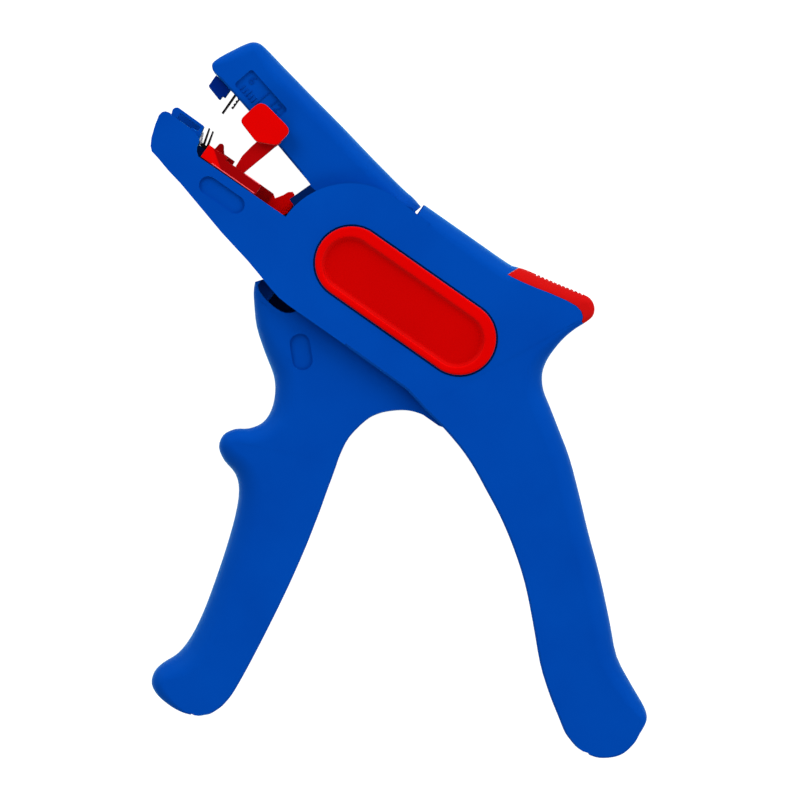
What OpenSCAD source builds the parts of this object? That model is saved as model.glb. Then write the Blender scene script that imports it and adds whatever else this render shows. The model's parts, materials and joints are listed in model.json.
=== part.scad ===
// Automatic wire stripper, lying on its back oval plate.
// X runs back along the body, Y up and away from the handles, Z out of the resting side.
// The jaw pivot stands on the origin.

/* [Body] */
// Thickness of the tool from its resting side to its front
body_w = 20; // [19:0.5:24]
// Thickness of each side plate
side_t = 3.2; // [2.8:0.1:3.6]
// Thickness of the walls between the side plates
wall_t = 3; // [2.4:0.1:3.2]
// Distance from the jaw pivot back to the trigger pivot
pivot_gap = 32; // [31:0.5:34]
// Height of the trigger pivot above the jaw pivot
pivot_rise = 4; // [3:0.5:5]
// Height of the body's top above the jaw pivot
head_top = 21.4; // [21:0.2:23]
// Radius of the side plates' round front
head_r = 18.8; // [18:0.2:19.4]
// Radius of the body's rounded outer edges
edge_r = 4.5; // [3:0.1:5]

/* [Fixed handle] */
// Reach of the handle's grip behind the jaw pivot
handle_run = 100; // [96:1:112]
// Drop of the handle's tip below the jaw pivot
handle_drop = 50; // [48:1:56]
// Thickness of the ribs inside the handle
rib_t = 1.6; // [1:0.1:3]

/* [Trigger] */
// Run of the trigger's outer edge behind the jaw pivot
trigger_run = 20; // [19:0.5:24]
// Drop of the trigger's grip below the jaw pivot
trigger_drop = 100; // [96:1:110]
// Radius of the trigger's rounded outer edge
grip_r = 6; // [4:0.1:6]
// Thickness of the trigger's and the upper jaw's cheeks
cheek_t = 2.2; // [1.8:0.1:2.4]
// Radius of the trigger's boss round its pivot
boss_r = 10; // [9:0.5:11]

/* [Jaws] */
// Distance from the jaw pivot to the jaws' teeth
jaw_len = 50; // [49:0.5:54]
// Height of the upper jaw above its pivot
jaw_rise = 20; // [19.8:0.2:21]
// Depth of the lower jaw at its middle
jaw_drop = 10; // [9.6:0.2:11]
// Slope of the upper jaw's inner edge in degrees
jaw_slope = 15.2; // [15:0.1:15.6]
// Radius of the upper jaw's lug round its pivot
lug_r = 8; // [7:0.5:8.5]
// Depth of the recessed panels on the jaws
panel_depth = 0.6; // [0.3:0.1:1]

/* [Pins] */
// Radius of the two pivot pins
pin_r = 3; // [2.5:0.1:3.2]
// Outer radius of the bushes on the pivot pins
bush_r = 4.2; // [3.8:0.1:4.3]
// Radius of the closing link's pins
link_pin_r = 1.4; // [1:0.1:1.5]
// Radius of the drive pin
drive_pin_r = 1.2; // [0.9:0.1:1.3]
// Radius of the roller on the drive pin
roller_r = 2; // [1.7:0.1:2.2]
// Radius of the cross pin
cross_pin_r = 1.2; // [0.8:0.1:1.3]
// Radius of the rivets and blade pins
rivet_r = 0.9; // [0.6:0.1:1]
// Radial play of a pin in its bore
pin_play = 0.04; // [0.02:0.01:0.08]
// Play of the pieces that slide or swing between plates
side_play = 0.25; // [0.15:0.05:0.4]
// Play of a pin in the slot that it drives
slot_play = 0.3; // [0.25:0.05:0.4]

/* [Mechanism] */
// Thickness of the drawbar
bar_t = 2; // [1.6:0.1:2.2]
// Height of the drawbar's web
bar_h = 4; // [3:0.2:4.4]
// Depth of the drawbar's middle line below the jaw pivot
bar_low = 7; // [6.8:0.1:7.4]
// Distance of the drive pin in front of the trigger pivot
drive_back = 7.6; // [7:0.1:8]
// Depth of the drive pin below the trigger pivot
drive_low = 16.6; // [16:0.1:17]
// Distance of the cross pin behind the jaw pivot
cross_back = 7; // [6.6:0.1:7.4]
// Thickness of each upper pull strip
strip_t = 1.2; // [0.8:0.1:1.3]
// Height of the upper pull strips
strip_h = 3.8; // [3:0.1:4]
// Thickness of the closing link
link_t = 2.4; // [2:0.1:2.5]
// Radius of the trigger's arm to the closing link
link_arm = 7; // [6.8:0.1:7.2]
// Angle of that arm at rest in degrees
link_angle = 65.6; // [64:0.2:67]

/* [Blades] */
// Thickness of a blade leaf
leaf_t = 0.5; // [0.3:0.05:0.6]
// Gap between the blades and the upper jaw's cheeks
blade_gap = 0.45; // [0.3:0.05:1]

/* [Plates] */
// Radius of the oval plates' round ends
oval_r = 9.2; // [8.6:0.1:9.4]
// Depth of the pockets for the oval plates
pocket_depth = 1.2; // [1:0.1:1.4]
// Height of the front plate's rim above the body
rim_rise = 0.5; // [0.2:0.1:1]
// Width of the front plate's rim
rim_w = 2.2; // [1.4:0.1:2.6]
// Depth of the groove round the back plate's panel
groove_depth = 0.5; // [0.3:0.1:0.7]

/* [Length stop] */
// Thickness of the stop's arm
stop_t = 1.6; // [1.2:0.1:1.7]
// Thickness of the stop's thumb knob
knob_t = 3; // [2:0.2:4]
// Pitch of the rail's teeth
tooth_pitch = 1; // [0.8:0.1:1.5]

/* [Springs] */
// Turns of the handle spring, which fill the room between the closing link and a cheek
handle_turns = 2; // [1:1:3]
// Gap between those turns
turn_gap = 0.15; // [0.1:0.05:0.3]
// Outer radius of the return spring
return_r = 1.8; // [1.4:0.1:1.9]
// Wire thickness of the return spring
return_wire = 0.5; // [0.4:0.1:0.6]
// Turns of the return spring
return_turns = 12; // [8:1:14]

/* [Hidden] */
$fn = 64;

blue = [0, 0.28, 0.68];
navy = [0, 0.1, 0.32];
red = [0.86, 0.02, 0.02];
steel = [0.75, 0.76, 0.78];
black_steel = [0.12, 0.12, 0.13];

// Overrun of cuts
over = 1;
// Chamfer along the inner edges of the rounded mouldings
edge_chamfer = 0.5;
// Steps along each rounded edge
round_steps = 5;
// Play round a piece that is pressed into its seat
pad_play = 0.05;
// Angle that the trigger swings when it is squeezed, in degrees
squeeze_angle = 28;
// Turn of the upper jaw as a share of that angle
close_share = 0.4143;

// Layers across the tool
mid_z = body_w / 2;
gap_half = mid_z - side_t;
inner_half = gap_half - side_play;
cheek_half = inner_half - cheek_t;
core_half = cheek_half - side_play;
blade_w = 2 * (cheek_half - blade_gap);
trigger_at = [pivot_gap, pivot_rise];
strip_near = bar_t / 2 + slot_play + side_play / 2;
strip_far = strip_near + strip_t;

// Vectors and rails
function unit(v) = v / norm(v);
function points(shares, run, rise) = [for (s = shares) [s[0] * run, s[1] * rise]];
function arc_points(at, r, from, to, steps) =
    [for (i = [0:steps]) let (a = from + (to - from) * i / steps) at + r * [cos(a), sin(a)]];
function cubic(a, b, c, d, t) =
    (2 * b + (c - a) * t + (2 * a - 5 * b + 4 * c - d) * t * t + (3 * b - a - 3 * c + d) * t * t * t) / 2;
function smooth(rows, steps) = let (last = len(rows) - 1) [
    for (i = [0:last - 1], k = [0:steps - 1])
        cubic(rows[max(i - 1, 0)], rows[i], rows[i + 1], rows[min(i + 2, last)], k / steps),
    rows[last]];
function outer(s) = [s[0], s[1]];
function inner(s) = [s[2], s[3]];
function travel(rows, i) = unit(outer(rows[min(i + 1, len(rows) - 1)]) - outer(rows[max(i - 1, 0)]));
function turned(t) = [-t[1], t[0]];
function straight_in(rows, i) =
    turned(travel(rows, i)) * sign(turned(travel(rows, 1)) * (inner(rows[1]) - outer(rows[1])));
function inward(rows, i) = let (last = len(rows) - 1)
    unit(straight_in(rows, max(i - 1, 0)) + 2 * straight_in(rows, i) + straight_in(rows, min(i + 1, last)));
function inset_rail(rows, depth, from, to) = [for (i = [from:to]) outer(rows[i]) + inward(rows, i) * depth];
function outset_back(rows, from, to) = [for (i = [to:-1:from])
    inner(rows[i]) + unit(inner(rows[i]) - outer(rows[i])) * over];

// Outline whose corners are drawn as curves that start at the given distances from them
function rounded(line, reach, steps) = let (m = len(line)) [for (i = [0:m - 1], k = [0:steps])
    let (p = line[i], t = k / steps, a = p + unit(line[(i + m - 1) % m] - p) * reach[i],
        b = p + unit(line[(i + 1) % m] - p) * reach[i])
    a * (1 - t) * (1 - t) + 2 * p * t * (1 - t) + b * t * t];

// Solid between an outer rail with rounded edges and an inner rail with small chamfers.
// Each row of stations holds an outer point, an inner point and the edge radius there.
function station_ring(rows, i, low, high) = let (
        a = outer(rows[i]), b = inner(rows[i]), r = rows[i][4],
        n = inward(rows, i), d = unit(b - a), c = edge_chamfer)
    concat(
        [for (k = [0:round_steps]) let (w = 90 * k / round_steps, p = a + n * r * (1 - sin(w)))
            [p[0], p[1], low + r * (1 - cos(w))]],
        [for (k = [round_steps:-1:0]) let (w = 90 * k / round_steps, p = a + n * r * (1 - sin(w)))
            [p[0], p[1], high - r * (1 - cos(w))]],
        [let (p = b - d * c) [p[0], p[1], high], [b[0], b[1], high - c],
            [b[0], b[1], low + c], let (p = b - d * c) [p[0], p[1], low]]);
module moulded(rows, low, high) {
    last = len(rows) - 1;
    rings = [for (i = [0:last]) station_ring(rows, i, low, high)];
    m = len(rings[0]);
    t = travel(rows, 1);
    across = inner(rows[1]) - outer(rows[1]);
    flip = t[0] * across[1] - t[1] * across[0] > 0;
    faces = concat(
        [for (i = [0:last - 1], k = [0:m - 1]) let (q = (k + 1) % m, e = i * m, f = (i + 1) * m)
            each [[e + k, f + k, f + q], [e + k, f + q, e + q]]],
        [for (k = [1:m - 2]) [0, k, k + 1]],
        [for (k = [1:m - 2]) [last * m, last * m + k + 1, last * m + k]]);
    polyhedron(points = [for (ring = rings) each ring],
        faces = flip ? [for (face = faces) [face[0], face[2], face[1]]] : faces, convexity = 8);
}
module slab(low, high) translate([0, 0, low]) linear_extrude(height = high - low, convexity = 6) children();
module mid_slab(half) slab(mid_z - half, mid_z + half) children();
module rod(at, r, half) translate([at[0], at[1], mid_z - half]) cylinder(r = r, h = 2 * half);
module oval(left, right, r) {
    translate([left, 0]) circle(r = r);
    translate([right, 0]) circle(r = r);
    translate([left, -r]) square([right - left, 2 * r]);
}
module cheeks() {
    mid_slab(inner_half) children();
}

// Body: outlines in shares of the handle's reach, the head's height and the handle's drop
function body_row(s) = [s[0] * handle_run, s[1] * (s[1] > 0 ? head_top : handle_drop),
    s[2] * handle_run, s[3] * handle_drop, s[4] * edge_r];
body_shares = [
    [0.069, 1, 0.061, -0.34, 0.89], [0.2, 1, 0.2, -0.344, 0.93], [0.31, 1, 0.28, -0.346, 0.93],
    [0.334, 1.023, 0.3, -0.352, 0.89], [0.36, 1.061, 0.31, -0.356, 0.8],
    [0.43, 1.126, 0.319, -0.36, 0.76], [0.495, 1.192, 0.327, -0.363, 0.58],
    [0.522, 1.206, 0.331, -0.364, 0.38], [0.542, 1.154, 0.334, -0.366, 0.29],
    [0.551, 1.061, 0.337, -0.367, 0.27], [0.545, 0.953, 0.34, -0.369, 0.27],
    [0.534, 0.832, 0.345, -0.372, 0.31], [0.525, 0.682, 0.357, -0.376, 0.4],
    [0.521, 0.514, 0.38, -0.384, 0.56], [0.522, 0.35, 0.414, -0.396, 0.77],
    [0.532, 0.2, 0.458, -0.418, 0.93], [0.556, 0.065, 0.49, -0.438, 1], [0.592, -0.02, 0.53, -0.47, 1],
    [0.64, -0.084, 0.58, -0.52, 1], [0.7, -0.166, 0.645, -0.586, 1], [0.77, -0.284, 0.715, -0.674, 1],
    [0.84, -0.408, 0.785, -0.78, 1], [0.922, -0.546, 0.855, -0.912, 1],
    [1.005, -0.7, 0.927, -1.056, 1], [1.066, -0.816, 0.98, -1.14, 1],
    [1.135, -0.888, 1.015, -1.188, 0.89], [1.19, -0.94, 1.04, -1.22, 0.67],
    [1.212, -0.985, 1.055, -1.24, 0.33], [1.217, -1.06, 1.07, -1.258, 0.13],
    [1.219, -1.11, 1.086, -1.269, 0.13], [1.212, -1.176, 1.098, -1.276, 0.13],
    [1.196, -1.222, 1.106, -1.28, 0.12], [1.17, -1.262, 1.114, -1.282, 0.1],
    [1.146, -1.278, 1.124, -1.282, 0.08]];
body_steps = 3;
body_rows = smooth([for (s = body_shares) body_row(s)], body_steps);
cavity_first = 18 * body_steps;
cavity_last = 25 * body_steps;
cavity_roof_shares = [[0.06, 0], [0.455, 0], [0.483, -0.086], [0.492, -0.228], [0.49, -0.466],
    [0.502, -0.684], [0.532, -0.884]];
rib_stations = [for (i = [20:24]) i * body_steps];
seat_shares = [[0.326, 0.892], [0.36, 0.914], [0.4, 0.954], [0.44, 1], [0.48, 1.036], [0.505, 1.046],
    [0.521, 1.03], [0.532, 0.99], [0.537, 0.935], [0.6, 0.9], [0.6, 1.5], [0.382, 1.5]];
seat_line = points(seat_shares, handle_run, head_top);

// Side plates in front of the rounded moulding, in shares of the jaw's length and the lower jaw's depth
function on_jaw(share) = [share[0] * jaw_len, share[1] * jaw_drop];
panel_share = [-0.686, -0.45];
panel_run = 8;
panel_high = 4.4;
post_share = [-0.6, -0.7];
post_at = on_jaw(post_share);
post_r = 1;
nose_shares = [[-0.96, 0.4], [-1.118, 0.445], [-1.136, 0.42], [-1.148, 0.36], [-1.152, 0.25], [-1.14, 0],
    [-1.12, -0.29], [-1.1, -0.47], [-1.08, -0.56], [-1.04, -0.6], [-0.96, -0.71], [-0.88, -0.79],
    [-0.584, -1.19], [-0.4, -1.39], [-0.312, -1.51], [-0.24, -1.61], [-0.18, -1.68], [-0.12, -1.7]];
floor_shares = [[-0.884, -0.02], [-0.904, 0.06], [-0.916, 0.16], [-0.92, 0.27], [-0.932, 0.35],
    [-0.956, 0.39]];
trough_shares = [[-1.1, -0.13], [-0.925, -0.13], [-0.9, -0.5], [-0.584, -0.93], [-0.4, -1.13], [-0.27, -1.31]];
nose_line = points(nose_shares, jaw_len, jaw_drop);
trough_line = points(trough_shares, jaw_len, jaw_drop);
head_back = body_rows[1][0];
head_low = body_rows[0][3];
oval_front = 0.5;
oval_lean = 0.65;
head_steps = 16;

module oval_slot(r) oval(oval_front, pivot_gap, r);
module body_cavity() {
    roof = [for (s = cavity_roof_shares) [s[0] * handle_run, head_top - wall_t + s[1] * head_top]];
    difference() {
        polygon(concat(roof, inset_rail(body_rows, wall_t, cavity_first, cavity_last),
            outset_back(body_rows, body_steps, cavity_last), [[roof[0][0], head_low - head_top]]));
        for (i = rib_stations) let (a = outer(body_rows[i]), b = inner(body_rows[i]), d = b - a)
            translate(a) rotate(atan2(d[1], d[0])) translate([0, -rib_t / 2])
                square([norm(d) - wall_t, rib_t]);
    }
}
module side_plate_outline() {
    polygon(concat(nose_line, [[head_back, head_low]], [[head_back, head_top - wall_t], [0, head_r]],
        arc_points([0, 0], head_r, 90, 180, head_steps), points(floor_shares, jaw_len, jaw_drop)));
}
module body_solid() {
    difference() {
        union() {
            slab(0, side_t) side_plate_outline();
            slab(body_w - side_t, body_w) side_plate_outline();
            mid_slab(gap_half) polygon(concat([for (i = [1:len(nose_line) - 5]) nose_line[i]],
                [for (i = [len(trough_line) - 1:-1:0]) trough_line[i]]));
            moulded(body_rows, 0, body_w);
        }
        mid_slab(gap_half) body_cavity();
    }
}
module body_frame() color(blue) difference() {
    body_solid();
    slab(-over, body_w + over) polygon(seat_line);
    for (at = [[0, 0], trigger_at]) rod(at, pin_r + pin_play, mid_z + over);
    rod(post_at, post_r + pin_play, mid_z - side_t / 2);
    slab(-over, pocket_depth) oval_slot(oval_r + pad_play);
    slab(body_w - pocket_depth, body_w + over) oval_slot(oval_r + pad_play);
    slab(body_w - panel_depth, body_w + over) translate(on_jaw(panel_share))
        oval(-panel_run / 2, panel_run / 2, panel_high / 2);
}

// Thumb rest: the ribbed shoulder of the body
rest_ribs = 12;
rest_pitch = 1.05;
rest_groove = 0.24;
groove_sides = 8;
rest_share = 0.385;
rest_from = rest_share * handle_run;
function rest_top(x) = let (a = outer(body_rows[5 * body_steps]), b = outer(body_rows[6 * body_steps]))
    a[1] + (x - a[0]) * (b[1] - a[1]) / (b[0] - a[0]);
rest_stations = [1, 15];
rest_rows = [for (i = [rest_stations[0] * body_steps:rest_stations[1] * body_steps]) body_rows[i]];
module thumb_rest() color(red) difference() {
    intersection() {
        moulded(rest_rows, 0, body_w);
        slab(-over, body_w + over) polygon([for (i = [0:len(seat_line) - 1]) seat_line[i] + [2 * pad_play, pad_play]]);
    }
    for (i = [0:rest_ribs - 1]) let (x = rest_from + i * rest_pitch, at = rest_top(x))
        translate([x, at, -over]) cylinder(r = rest_groove, h = body_w + 2 * over, $fn = groove_sides);
}

// Bevelled recess with round ends
module tapered_oval(left, right, middle, low_r, high_r, low, high) {
    for (x = [left, right]) translate([x, middle, low]) cylinder(r1 = low_r, r2 = high_r, h = high - low);
    translate([left, middle, low]) rotate([90, 0, 90]) linear_extrude(height = right - left)
        polygon([[-low_r, 0], [low_r, 0], [high_r, high - low], [-high_r, high - low]]);
}
module front_oval_plate() color(red) difference() {
    slab(body_w - pocket_depth, body_w + rim_rise) oval_slot(oval_r);
    tapered_oval(oval_front + rim_w / 2, pivot_gap + rim_w / 2, -oval_lean, oval_r - rim_w - rim_rise,
        oval_r - rim_w, body_w - rim_rise, body_w + rim_rise + pad_play);
}
module rear_oval_plate() color(red) difference() {
    slab(0, pocket_depth) oval_slot(oval_r);
    slab(-over, groove_depth) difference() {
        oval_slot(oval_r - rim_w + pocket_depth);
        oval_slot(oval_r - rim_w);
    }
}
module jaw_pin() color(steel) rod([0, 0], pin_r, mid_z - pocket_depth - pad_play);
module trigger_pin() color(steel) rod(trigger_at, pin_r, mid_z - pocket_depth - pad_play);
module spring_post() color(steel) rod(post_at, post_r, mid_z - side_t / 2 - pad_play);

// Clamp pad on the lower jaw, open along its middle for the upper tooth
pad_shares = [[-1.088, -0.125], [-1.108, 0.45], [-1.116, 0.56], [-1.11, 0.63], [-1.098, 0.67], [-0.946, 0.66],
    [-0.926, 0.25], [-0.924, -0.125]];
pad_channel_shares = [[-1.2, 0.37], [-0.9, 0.37], [-0.9, 0.9], [-1.2, 0.9]];
pad_window_shares = [[-1.074, 0.43], [-0.99, 0.43], [-0.985, 0.47], [-0.958, 0.47], [-0.956, 0.58],
    [-1.074, 0.58]];
pad_half = gap_half - side_play * 2;
module lower_clamp_pad() color(blue) difference() {
    mid_slab(pad_half) polygon(points(pad_shares, jaw_len, jaw_drop));
    mid_slab(cheek_half - side_play / 2) polygon(points(pad_channel_shares, jaw_len, jaw_drop));
    slab(mid_z, body_w) polygon(points(pad_window_shares, jaw_len, jaw_drop));
}

// Upper jaw: outlines in shares of the jaw's length and height
function jaw_row(s) = [s[0] * jaw_len, s[1] * jaw_rise, s[2] * jaw_len, s[3] * jaw_rise, s[4] * edge_r];
jaw_shares = [
    [-1.066, 0.938, -1.05, 0.922, 0.06], [-1.086, 1.0, -1.036, 0.918, 0.2],
    [-1.074, 1.115, -1.018, 0.908, 0.44], [-1.04, 1.285, -0.998, 0.898, 0.56],
    [-1.012, 1.41, -0.976, 0.885, 0.56], [-0.986, 1.49, -0.952, 0.87, 0.53],
    [-0.95, 1.525, -0.92, 0.855, 0.56], [-0.89, 1.505, -0.87, 0.825, 0.75],
    [-0.8, 1.46, -0.79, 0.775, 0.93], [-0.6, 1.365, -0.598, 0.648, 0.93],
    [-0.4, 1.275, -0.4, 0.515, 0.93], [-0.2, 1.175, -0.24, 0.41, 0.93],
    [0, 1.085, -0.08, 0.3, 0.89], [0.07, 1.065, 0, 0.25, 0.76], [0.126, 1.03, 0.08, 0.2, 0.58]];
jaw_steps = 3;
jaw_rows = smooth([for (s = jaw_shares) jaw_row(s)], jaw_steps);
jaw_low = mid_z - inner_half;
jaw_high = mid_z + inner_half;
lug_shares = [[-0.44, 0.545], [-0.368, 0.49], [-0.398, 0.22], [-0.34, 0.06], [-0.09, -0.33], [0, 0],
    [0.16, 0.06], [0.15, 0.6], [0.13, 0.9], [0, 0.95], [-0.2, 0.8]];
jaw_wall = 2.2;
heel_arm = link_arm / close_share;
heel_angle = link_angle + squeeze_angle / 2 * (1 - close_share);
heel_at = heel_arm * [cos(heel_angle), sin(heel_angle)];
link_wall = 1;
heel_wall = 1.4;
link_at = trigger_at + link_arm * [cos(link_angle), sin(link_angle)];
mouth_shares = [[0.2, 0.93], [0.2, -0.6], [-0.5, -0.6], [-0.5, 0.45]];
// Recessed panel of the length scale on the jaw's front
scale_share = [-0.802, 1.005];
scale_tilt = 13.4;
scale_run = 13.2;
scale_high = 5.6;
scale_corner = 0.8;
cavity_stations = [4, 13, 10];
module jaw_cavity() polygon(concat(
    inset_rail(jaw_rows, jaw_wall, cavity_stations[0] * jaw_steps, cavity_stations[1] * jaw_steps),
    points(mouth_shares, jaw_len, jaw_rise),
    outset_back(jaw_rows, cavity_stations[0] * jaw_steps, cavity_stations[2] * jaw_steps)));
module upper_jaw() color(blue) difference() {
    union() {
        moulded(jaw_rows, jaw_low, jaw_high);
        cheeks() {
            polygon(points(lug_shares, jaw_len, jaw_rise));
            circle(r = lug_r);
            translate(heel_at) circle(r = link_pin_r + heel_wall);
        }
    }
    mid_slab(cheek_half) jaw_cavity();
    rod([0, 0], pin_r + pin_play, mid_z);
    rod(heel_at, link_pin_r + pin_play, mid_z);
    translate([scale_share[0] * jaw_len, scale_share[1] * jaw_rise, jaw_high - panel_depth])
        rotate(-scale_tilt) linear_extrude(height = over + panel_depth) rounded_box(scale_run, scale_high,
            scale_corner);
}
module rounded_box(run, high, r) {
    square([run - 2 * r, high], center = true);
    square([run, high - 2 * r], center = true);
    for (x = [-1, 1], y = [-1, 1]) translate([x * (run / 2 - r), y * (high / 2 - r)]) circle(r = r);
}
tooth_shares = [[-1.04, 0.915], [-1.04, 0.76], [-1.032, 0.745], [-0.964, 0.695], [-0.956, 0.7], [-0.956, 0.75],
    [-0.942, 0.75], [-0.942, 1.1], [-0.957, 1.1], [-0.958, 0.866]];
module upper_clamp_pad() color(navy) mid_slab(core_half) polygon(points(tooth_shares, jaw_len, jaw_rise));
module jaw_bush() color(steel) bush([0, 0]);
module bush(at) difference() {
    rod(at, bush_r, core_half);
    rod(at, pin_r + pin_play, mid_z);
}
link_band = 3.4;
module heel_pin() color(steel) rod(heel_at, link_pin_r, inner_half);
module closing_link() color(steel) difference() {
    mid_slab(link_t / 2) {
        translate(heel_at) circle(r = link_pin_r + link_wall);
        translate(link_at) circle(r = link_pin_r + link_wall);
        translate(heel_at) rotate(atan2(link_at[1] - heel_at[1], link_at[0] - heel_at[0]))
            translate([0, -link_band / 2]) square([norm(link_at - heel_at), link_band]);
    }
    rod(heel_at, link_pin_r + pin_play, mid_z);
    rod(link_at, link_pin_r + slot_play, mid_z);
}

// Upper blades and what draws them along the jaw
holder_shares = [[-0.934, 0.905], [-0.934, 1.31], [-0.824, 1.24], [-0.824, 0.865]];
upper_leaf_shares = [-0.91, -0.886];
upper_tip_shares = [0.58, 0.695];
upper_root_share = 1.06;
rivet_share = [-0.842, 0.965];
strip_line = 7.6;
holder_pin_share = 1;
module upper_leaf(i, play) {
    x = upper_leaf_shares[i] * jaw_len;
    translate([x - leaf_t / 2 - play, upper_tip_shares[i] * jaw_rise])
        square([leaf_t + 2 * play, upper_root_share * jaw_rise - upper_tip_shares[i] * jaw_rise + play]);
}
strip_front = -0.932;
upper_pin_share = 0.066;
module upper_pull_band() rotate(-jaw_slope) translate([strip_front * jaw_len, strip_line - strip_h / 2])
    square([cross_back - strip_front * jaw_len, strip_h]);
module upper_blade_holder() color(steel) difference() {
    mid_slab(core_half) polygon(points(holder_shares, jaw_len, jaw_rise));
    for (i = [0, 1]) mid_slab(blade_w / 2 + pad_play) upper_leaf(i, pad_play);
    for (side = [0, 1]) mirror_mid(side) slab(mid_z + strip_near - pad_play, mid_z + strip_far + pad_play)
        upper_slot();
    upper_pin(over, pin_play);
    rod([rivet_share[0] * jaw_len, rivet_share[1] * jaw_rise], rivet_r + pin_play, mid_z);
}
slot_shares = [[-0.873, 0.86], [-0.873, 1.12], [-0.8, 1.12], [-0.8, 0.8]];
module upper_slot() polygon(points(slot_shares, jaw_len, jaw_rise));
module mirror_mid(side) {
    translate([0, 0, side * body_w]) mirror([0, 0, side]) children();
}
module upper_pin(ahead, play)
    translate([holder_shares[0][0] * jaw_len - ahead, holder_pin_share * jaw_rise, mid_z])
        rotate([0, 90, 0]) cylinder(r = rivet_r + play, h = upper_pin_share * jaw_len + ahead);
module upper_blade_pin() color(steel) upper_pin(0, 0);
notches = 4;
notch_pitch = 0.9;
notch_depth = 0.2;
module upper_blades() color(black_steel) difference() {
    for (i = [0, 1]) mid_slab(blade_w / 2) upper_leaf(i, 0);
    for (k = [0:notches - 1]) translate([upper_leaf_shares[1] * jaw_len - leaf_t / 2 - notch_depth,
            upper_tip_shares[1] * jaw_rise + notch_pitch * (k + 1 / 2), -over])
        cube([2 * notch_depth, notch_pitch / 2, body_w + 2 * over]);
    upper_pin(over, pin_play);
}
cross_rise = 0.5;
cross_at = [cross_back, cross_rise - bar_low];
strip_plate_run = 6.4;
strip_plate_front = 2.4;
module strip_outline() difference() {
    union() {
        upper_pull_band();
        translate([cross_back - strip_plate_front, -bar_low - bar_h / 2])
            square([strip_plate_run, bar_low + bar_h / 2 + strip_line]);
    }
    translate([cross_back - cross_pin_r - slot_play, -bar_low - bar_h])
        square([2 * (cross_pin_r + slot_play), bar_h + slot_play + cross_pin_r + cross_rise]);
}
module upper_pull_strips() color(steel) difference() {
    for (side = [0, 1]) mirror_mid(side) slab(mid_z + strip_near, mid_z + strip_far) strip_outline();
    rod([rivet_share[0] * jaw_len, rivet_share[1] * jaw_rise], rivet_r + pin_play, mid_z);
}
module holder_rivet() color(steel)
    rod([rivet_share[0] * jaw_len, rivet_share[1] * jaw_rise], rivet_r, core_half);

// Carriage in the lower jaw, in shares of the jaw's length and the lower jaw's depth
runner_shares = [[-0.874, -0.5], [-0.874, -0.01], [-0.592, -0.01], [-0.592, -0.5]];
block_shares = [[-0.874, 0.01], [-0.874, 0.36], [-0.764, 0.36], [-0.764, 0.01]];
rail_shares = [[-0.765, 0.01], [-0.765, 0.29], [-0.594, 0.29], [-0.594, 0.01]];
lip_shares = [[-0.6, 0.01], [-0.6, 0.29], [-0.556, 0.29], [-0.556, 0.01]];
tail_shares = [[-0.874, -0.5], [-0.874, 0.36], [-0.842, 0.36], [-0.838, 0.53], [-0.826, 0.57], [-0.816, 0.55],
    [-0.808, 0.49], [-0.792, 0.39], [-0.73, 0.39], [-0.73, 0.29], [-0.49, 0.29], [-0.47, 0.22], [-0.446, 0.4],
    [-0.436, 0.52], [-0.418, 0.59], [-0.404, 0.56], [-0.398, 0.48], [-0.378, 0.37], [-0.378, 0.1], [-0.39, 0],
    [-0.39, -0.45], [-0.41, -0.5]];
rail_top_share = 0.29;
groove_from_share = -0.862;
groove_to_share = -0.648;
groove_low_share = 0.08;
runner_half = gap_half - side_play;
rail_back = 0.2;
reach_out = body_w - rail_back;
stop_depth = 2;
stop_mid = body_w - stop_depth;
bar_slot_shares = [[-0.662, -0.6], [-0.662, -0.06], [-0.3, -0.06], [-0.3, -0.6]];
bar_rivet_shares = [[-0.61, -0.26], [-0.51, -0.26]];
lower_pin_share = [-0.852, 0.36];
foot_seat_shares = [[-0.886, 0.195], [-0.826, 0.195], [-0.826, 0.305], [-0.886, 0.305]];
teeth_from = 4;
tooth_sides = 4;
module carriage_pin(r, play) translate([lower_pin_share[0] * jaw_len, -play, mid_z]) rotate([-90, 0, 0])
    cylinder(r = r, h = lower_pin_share[1] * jaw_drop + play);
module lower_carriage() color(red) difference() {
    union() {
        mid_slab(runner_half) polygon(points(runner_shares, jaw_len, jaw_drop));
        slab(mid_z - runner_half, reach_out) polygon(points(block_shares, jaw_len, jaw_drop));
        slab(mid_z - runner_half, reach_out) polygon(points(rail_shares, jaw_len, jaw_drop));
        slab(mid_z + gap_half, reach_out) polygon(points(lip_shares, jaw_len, jaw_drop));
        mid_slab(core_half) polygon(points(tail_shares, jaw_len, jaw_drop));
    }
    slab(stop_mid - stop_t / 2 - side_play / 2, stop_mid + stop_t / 2 + side_play / 2)
        translate([groove_from_share * jaw_len, groove_low_share * jaw_drop])
        square([(groove_to_share - groove_from_share) * jaw_len, jaw_drop]);
    for (x = [groove_from_share * jaw_len + teeth_from * tooth_pitch : tooth_pitch
            : lip_shares[2][0] * jaw_len - tooth_pitch])
        slab(stop_mid, body_w + over) translate([x + tooth_pitch, rail_top_share * jaw_drop])
            circle(r = tooth_pitch / 3, $fn = tooth_sides);
    mid_slab(bar_t / 2 + pad_play) polygon(points(bar_slot_shares, jaw_len, jaw_drop));
    for (s = bar_rivet_shares) rod(on_jaw(s), rivet_r + pin_play, core_half + over);
    mid_slab(blade_w / 2 + pad_play) polygon(points(foot_seat_shares, jaw_len, jaw_drop));
    carriage_pin(rivet_r + pin_play, over);
}

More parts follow.
